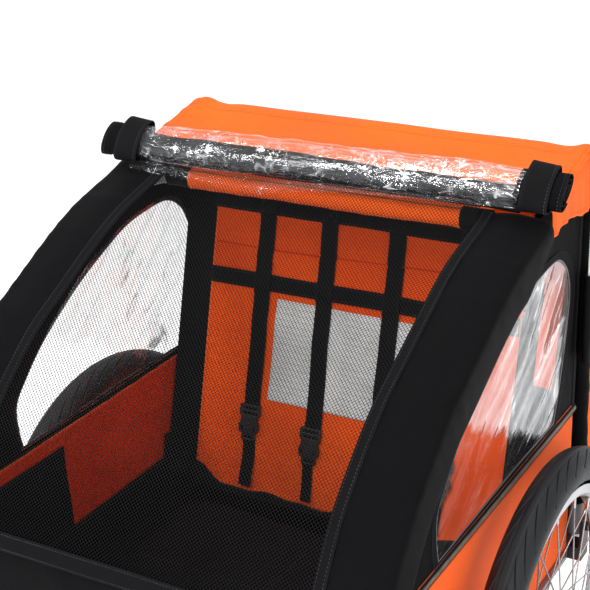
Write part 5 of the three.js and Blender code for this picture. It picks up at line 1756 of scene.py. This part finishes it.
# ------------------------------------------------------------------ rolled rain cover
def roll():
    cy, cz = 39.0, 818.0

    def bundle(r, ang, k=0.56, c=None, x=0.0):
        """Offsets of a flattened roll that leans back over the bow; its left end sits a little higher."""
        a, b = r * 1.06 * np.cos(ang), r * k * np.sin(ang)
        return cy + a * 0.755 - b * 0.656, (822.0 + 3.6 * x / 300 if c is None else c) + a * 0.656 + b * 0.755
    nx, nt = 230, 150
    xs = np.linspace(-268, 268, nx)
    tt = np.linspace(0, 1, nt)
    turns = 2.35
    P = np.zeros((nx, nt, 3))
    A0 = -2.1
    hemz = np.interp(xs, [-257, -254, -136, -69, -29, 60, 173, 257], [789, 788, 779, 779, 787, 797, 803, 806])
    for i, x in enumerate(xs):
        ang = A0 - (1 - tt) * turns * 2 * math.pi
        r = 15.5 + 11.0 * tt ** 0.9
        tight = 1 - 0.16 * math.exp(-((abs(x) - 268) / 26) ** 2)
        q = np.column_stack([np.full(nt, x), 30 * np.cos(ang), 30 * np.sin(ang) + 90 * tt])
        rr = r * tight + (1.5 * ripple(q, 161, 14, 24, 120) + 1.8 * creases(q, 163, (1.0, 0.5, 0.4), 46, 2.6, 60) + 0.9 * creases(q, 165, (0.06, 0.7, 0.7), 11, 2.0, 60)) * (0.35 + 0.65 * tt)
        y, z = bundle(rr, ang, x=x)
        P[i, :, 0] = x
        P[i, :, 1], P[i, :, 2] = y, z
    # the free edge hangs a little way down in front of the bow
    hang = 26
    y0, z0 = P[:, -1, 1], P[:, -1, 2]
    H = np.zeros((nx, hang, 3))
    for k in range(hang):
        t = (k + 1) / hang
        H[:, k, 0] = xs
        H[:, k, 1] = y0 + (13.0 - y0) * min(1.0, t * 1.4) ** 0.8
        H[:, k, 2] = z0 + (hemz - z0) * t
    w = 1.3 * creases(H, 167, (1, 0, 0.2), 38, 2.5, 50)
    H[..., 1] -= w * np.linspace(0, 1, hang)[None, :]
    P = np.concatenate([P, H], axis=1)
    o = grid("rolled_cover", P, "roll")
    hem = P[:, -6:].copy()
    hem[..., 1] -= 0.3
    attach(o, "front_hoop"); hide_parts("rolled_cover")

    # dark core: the cover's black edge tape, rolled up first and seen through the film
    xs2 = np.linspace(-266, 266, 150)
    n2 = 110
    C = np.zeros((150, n2, 3))
    t = np.linspace(0, 1, n2)
    for i, x in enumerate(xs2):
        ang = 1.2 + t * 1.9 * 2 * math.pi
        r = 4.0 + 9.4 * t
        q = np.column_stack([np.full(n2, x), 20 * np.cos(ang), 20 * np.sin(ang)])
        rr = r + 1.1 * ripple(q, 171, 12, 30, 160) * t
        C[i] = np.column_stack([np.full(n2, x), *bundle(rr * 1.32, ang, 0.55, 810.8 - 3.6 * x / 300)])
    core = grid("rolled_core", C, "black_in", thick=0.8)
    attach(core, "front_hoop"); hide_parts("rolled_cover")

    # black fabric bands at both ends, wound with the film; the last turns show as a spiral
    for sgn, sd in ((1, "left"), (-1, "right")):
        xb = np.linspace(262 if sgn > 0 else 256, 318, 40)
        nb = 170
        tb = np.linspace(0, 1, nb)
        B = np.zeros((40, nb, 3))
        for i, x in enumerate(xb):
            ang = A0 + 0.25 - (1 - tb) * 3.2 * 2 * math.pi
            squeeze = 1 - 0.07 * math.exp(-((x - 285) / 14) ** 2) + 0.03 * (x > 305)
            r = (4.0 + 21.0 * tb) * squeeze
            q = np.column_stack([np.full(nb, x * sgn), 25 * np.cos(ang), 25 * np.sin(ang) + 60 * tb])
            rr = r + 0.9 * ripple(q, 181 if sgn > 0 else 187, 12, 24, 120) * tb
            B[i] = np.column_stack([np.full(nb, x + 1.5 * ripple(q, 191, 6, 60, 200) * (x > 300)), *bundle(rr, ang, 0.5, x=sgn * x)])
        B[..., 0] *= sgn
        b = grid("roll_end_" + sd, B, "black", thick=0.9)
        st = [stitches("st", B[k, 118:, :] + np.array([0, 0, 0.0]) + 0.9 * radial(B[k, 118:], cy, cz), radial(B[k, 118:], cy, cz)) for k in (3, 9, 36)]
        b = join("roll_end_" + sd, [b] + st)
        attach(b, "front_hoop"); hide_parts("rolled_cover")

        # strap loop with its hook-and-loop tail
        na = 64
        a = np.linspace(-2.25, -2.25 + 2 * math.pi * 1.12, na)
        rr = 28.3 + np.where(np.arange(na) > na * 0.86, (np.arange(na) - na * 0.86) * 0.32, 0.0)
        wob = 0.35 * np.sin(a * 5)
        x0 = 287.0 if sgn > 0 else -275.0
        path = np.column_stack([np.full(na, x0) + 1.2 * np.sin(a * 1.0), *bundle(rr * 1.05 + wob, a, 0.52, x=x0)])
        tg = np.gradient(path[:, 1:], axis=0)
        nr = np.column_stack([np.zeros(na), tg[:, 1], -tg[:, 0]])
        nr /= np.linalg.norm(nr, axis=1, keepdims=True)
        lp = strap("loop", path, 33.0, 1.9, "web", up=nr[0])
        rows = [stitches("st", path + nr * 1.1 + np.array([dx, 0, 0]), nr) for dx in (-13.8, 13.8)]
        s = join("roll_strap_" + sd, [lp] + rows)
        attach(s, "front_hoop"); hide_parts("roll_strap_" + sd)


def radial(P, cy, cz):
    v = np.column_stack([np.zeros(len(P)), P[:, 1] - cy, P[:, 2] - cz])
    return v / np.maximum(np.linalg.norm(v, axis=1, keepdims=True), 1e-9)


roll()


# ------------------------------------------------------------------ rear: cargo cover, upright sleeves, flag
def rear():
    # back sheet, bowed a little, running down from the roof's rear hem to the rear cross tube
    xs = np.linspace(-286, 286, 110)
    ts = np.linspace(0, 1, 90)
    X, T = np.meshgrid(xs, ts, indexing="ij")
    Y = 244.0 + (336.0 - 244.0) * T
    Z = 816.0 + (254.0 - 816.0) * T
    q = np.stack([X, Y, Z], -1)
    k = np.clip((1 - (X / 286) ** 2) * 2.2, 0, 1) * np.clip(T * 7, 0, 1) * np.clip((1 - T) * 7, 0, 1)
    amp = k * (2.0 + 2.0 * ripple(q, 201, 18, 90, 380) + 2.8 * creases(q, 203, (1.0, 0, 0.6), 150, 4, 150))
    Y = Y + amp * 0.9
    P = np.stack([X, Y, Z + amp * 0.16], -1)
    o = grid("cargo_cover", P, "orange", thick=1.1, offset=0.0)
    ex = []
    # sides of the cover, from the rear upright to the back edge
    for sgn in (1, -1):
        zs = np.linspace(256, 812, 80)
        ks = np.linspace(0, 1, 16)
        Zs, K = np.meshgrid(zs, ks, indexing="ij")
        y0 = 256 + (234 - 256) * (Zs - 256) / 556
        y1 = 338 + (247 - 338) * (Zs - 256) / 556
        Ys = y0 + (y1 - y0) * K
        qq = np.stack([Zs * 0 + sgn * 300, Ys, Zs], -1)
        Xs = 284.6 + np.sin(np.pi * K) * (1.0 + 1.2 * ripple(qq, 207, 12, 60, 260) + 1.4 * creases(qq, 209, (0, 0.6, 1), 70, 4, 90))
        S_ = np.stack([Xs * sgn, Ys, Zs], -1)
        ex.append(grid("cs", S_, "orange", thick=1.0, offset=0.0))
        ex.append(sweep("welt", S_[:, -1] + np.array([sgn * 0.8, 0.2, 0]), circle(1.8, 8), "binding"))
        B = np.zeros((80, 5, 3))
        for j, (dy, x) in enumerate(((-3.0, 284.2), (-2.4, 285.8), (3, 286.4), (8, 286.2), (9, 285.4))):
            B[:, j] = np.column_stack([np.full(80, x * sgn), y0[:, 0] + dy, zs])
        ex.append(grid("bind", B, "binding", thick=0.8, offset=0.0))
    # zipped luggage flap: zip tape with a row of teeth, stitched along both sides
    w, z0, z1 = 205.0, 0.20, 0.86
    line = []
    for a, b in (((-w, z0), (w, z0)), ((w, z0), (w, z1)), ((w, z1), (-w, z1)), ((-w, z1), (-w, z0))):
        line += [(a[0] + (b[0] - a[0]) * t, a[1] + (b[1] - a[1]) * t) for t in np.linspace(0, 1, 40, endpoint=False)]
    line = np.array(line)
    corner = smooth_line(np.array([(-w + 46, z0), (0, z0), (w - 46, z0), (w - 13, z0 + 0.023), (w, z0 + 0.081), (w, 0.5 * (z0 + z1)), (w, z1 - 0.081), (w - 13, z1 - 0.023), (w - 46, z1), (0, z1), (-w + 46, z1), (-w + 13, z1 - 0.023), (-w, z1 - 0.081), (-w, 0.5 * (z0 + z1)), (-w, z0 + 0.081), (-w + 13, z0 + 0.023)], float) * np.array([1, 570]), 420, closed=True)
    corner[:, 1] /= 570

    def onback(x, t, lift):
        i = (x + 286) / 572 * (len(xs) - 1)
        j = t * (len(ts) - 1)
        i0, j0 = np.clip(i.astype(int), 0, len(xs) - 2), np.clip(j.astype(int), 0, len(ts) - 2)
        fi, fj = (i - i0)[:, None], (j - j0)[:, None]
        p = P[i0, j0] * (1 - fi) * (1 - fj) + P[i0 + 1, j0] * fi * (1 - fj) + P[i0, j0 + 1] * (1 - fi) * fj + P[i0 + 1, j0 + 1] * fi * fj
        return p + np.array([0, 0.987, 0.161]) * lift
    zp = onback(corner[:, 0], corner[:, 1], 1.2)
    ex.append(sweep("ziptape", zp, strip_section(17, 0.9), "binding", up=(0, 1, 0.16), caps=False))
    ex.append(stitches("zipteeth", zp + np.array([0, 1.0, 0.1]), (0, 1, 0.16), step=2.2, length=1.3, width=4.6, lift=1.1, mats="plastic"))
    for off in (-7, 7):
        c2 = corner * np.array([1, 570.0])
        tg = np.gradient(c2, axis=0)
        tg /= np.maximum(np.linalg.norm(tg, axis=1, keepdims=True), 1e-9)
        c2 = (c2 + off * np.column_stack([tg[:, 1], -tg[:, 0]])) / np.array([1, 570.0])
        ex.append(stitches("st", onback(c2[:, 0], c2[:, 1], 1.9), (0, 1, 0.16)))
    top_h = P[:, 2] + np.array([0, 0.9, 0.2])
    ex.append(stitches("st", top_h, (0, 1, 0.16), mats="thread_o"))
    ex.append(stitches("st", P[:, -3] + np.array([0, 0.9, 0.2]), (0, 1, 0.16), mats="thread_o"))
    o = join("cargo_cover", [o] + ex)
    fold_down(o)
    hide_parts("cargo_cover")

    # sleeves on the rear uprights
    for sgn, sd in ((1, "left"), (-1, "right")):
        n = 90
        t = np.linspace(0, 1, n)
        z = MAIN_PIVOT[1] + 38 + t * (470 - 38 + 48)
        y = MAIN_PIVOT[0] - 22 * (z - MAIN_PIVOT[1]) / 531
        path = np.column_stack([np.full(n, sgn * MAIN_X), y, z])
        a = np.linspace(0, 2 * math.pi, 40, endpoint=False)
        P2 = np.zeros((n, 40, 3))
        for i in range(n):
            qq = np.column_stack([14 * np.cos(a) + sgn * 90, 14 * np.sin(a), np.full(40, z[i])])
            r = 13.0 + 0.9 * ripple(qq, 221, 12, 24, 120) + 1.0 * creases(qq, 223, (0.3, 0.2, 1), 30, 3, 40)
            P2[i] = np.column_stack([path[i, 0] + r * np.cos(a), path[i, 1] + r * np.sin(a), np.full(40, z[i])])
        s = grid("rear_sleeve_" + sd, P2, "black", cv=True, thick=0.9, offset=1.0)
        st = [stitches("st", P2[:, 10] + np.array([0, 1.0, 0]), (0, 1, 0))]
        if sgn > 0:
            # pocket that takes the flag's rod
            zz = np.linspace(548, 668, 40)
            pk = np.zeros((40, 24, 3))
            b = np.linspace(0, 2 * math.pi, 24, endpoint=False)
            for i in range(40):
                w_ = 5.6 + 0.5 * math.sin(zz[i] * 0.11) + 1.0 * math.exp(-((zz[i] - 668) / 6.0) ** 2)
                pk[i] = np.column_stack([299.6 + w_ * np.cos(b), 196 + (w_ + 1.2) * np.sin(b), np.full(24, zz[i])])
            st.append(grid("pk", pk, "binding", cv=True, thick=0.9, offset=1.0))
            fl = np.zeros((40, 6, 3))
            for i in range(40):
                fl[i] = np.column_stack([np.linspace(298.5, 292, 6), np.linspace(201.5, 216, 6), np.full(6, zz[i])])
            st.append(grid("pf", fl, "binding", thick=1.4))
        s = join("rear_sleeve_" + sd, [s] + st)
        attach(s, "rear_hoop"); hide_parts("rear_sleeve_" + sd)

    # flag: rod with ferrules and a cap, and its short black pocket on the rear upright
    n = 60
    z = np.linspace(560, 1345, n)
    rod = sweep("flag_pole", np.column_stack([np.full(n, 300.0), np.full(n, 196.0), z]), circle(3.0, 20), "white", up=(0, 1, 0))
    fer = sweep("f", np.array([(300, 196, 930), (300, 196, 934), (300, 196, 966), (300, 196, 970)], float), circle(4.0, 20), "alloy", up=(0, 1, 0), scale=[0.85, 1, 1, 0.85])
    capz = sweep("f", np.array([(300, 196, 1336), (300, 196, 1338), (300, 196, 1343.4), (300, 196, 1344.8)], float), circle(4.2, 20), "plastic", up=(0, 1, 0), scale=[0.9, 1, 0.95, 0.6])
    rod = join("flag_pole", [rod, fer, capz])
    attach(rod, "safety_flag"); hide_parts("flag_pole")
    nu, nv = 70, 44
    P3 = np.zeros((nu, nv, 3))
    for i in range(nu):
        k = i / (nu - 1)
        yy = 201.5 + 202.0 * k
        hi, lo = 1330 - 105 * k, 1120 + 105 * k
        for j in range(nv):
            P3[i, j] = (300, yy, lo + (hi - lo) * j / (nv - 1))
    kk = np.linspace(0, 1, nu)[:, None]
    P3[..., 0] += kk * 7.0 * np.sin(kk * 7.5 + 0.004 * (P3[..., 2] - 1225)) * (1 - 0.25 * kk) + 0.6 * ripple(P3, 231, 10, 50, 200) * kk
    P3[-1, :, 2] = 1225 + (P3[-1, :, 2] - 1225)
    fl = grid("flag", P3[:-1], "orange", thick=0.6, offset=0.0)
    pocket = np.zeros((nv, 20, 3))
    a = np.linspace(0, 2 * math.pi, 20, endpoint=False)
    for j in range(nv):
        zz = 1120 + 210 * j / (nv - 1)
        pocket[j] = np.column_stack([300 + 4.3 * np.cos(a), 196.3 + 4.9 * np.sin(a), np.full(20, zz)])
    pk = grid("pk", pocket, "orange", cv=True, thick=0.6, offset=0.0)
    st = [stitches("st", P3[1] + np.array([0.5, 0, 0]), (1, 0, 0), mats="thread_o"), stitches("st", P3[:-2, 2] + np.array([0.5, 0, 0]), (1, 0, 0), mats="thread_o"),
          stitches("st", P3[:-2, -3] + np.array([0.5, 0, 0]), (1, 0, 0), mats="thread_o")]
    fl = join("flag", [fl, pk] + st)
    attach(fl, "safety_flag"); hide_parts("flag")


rear()
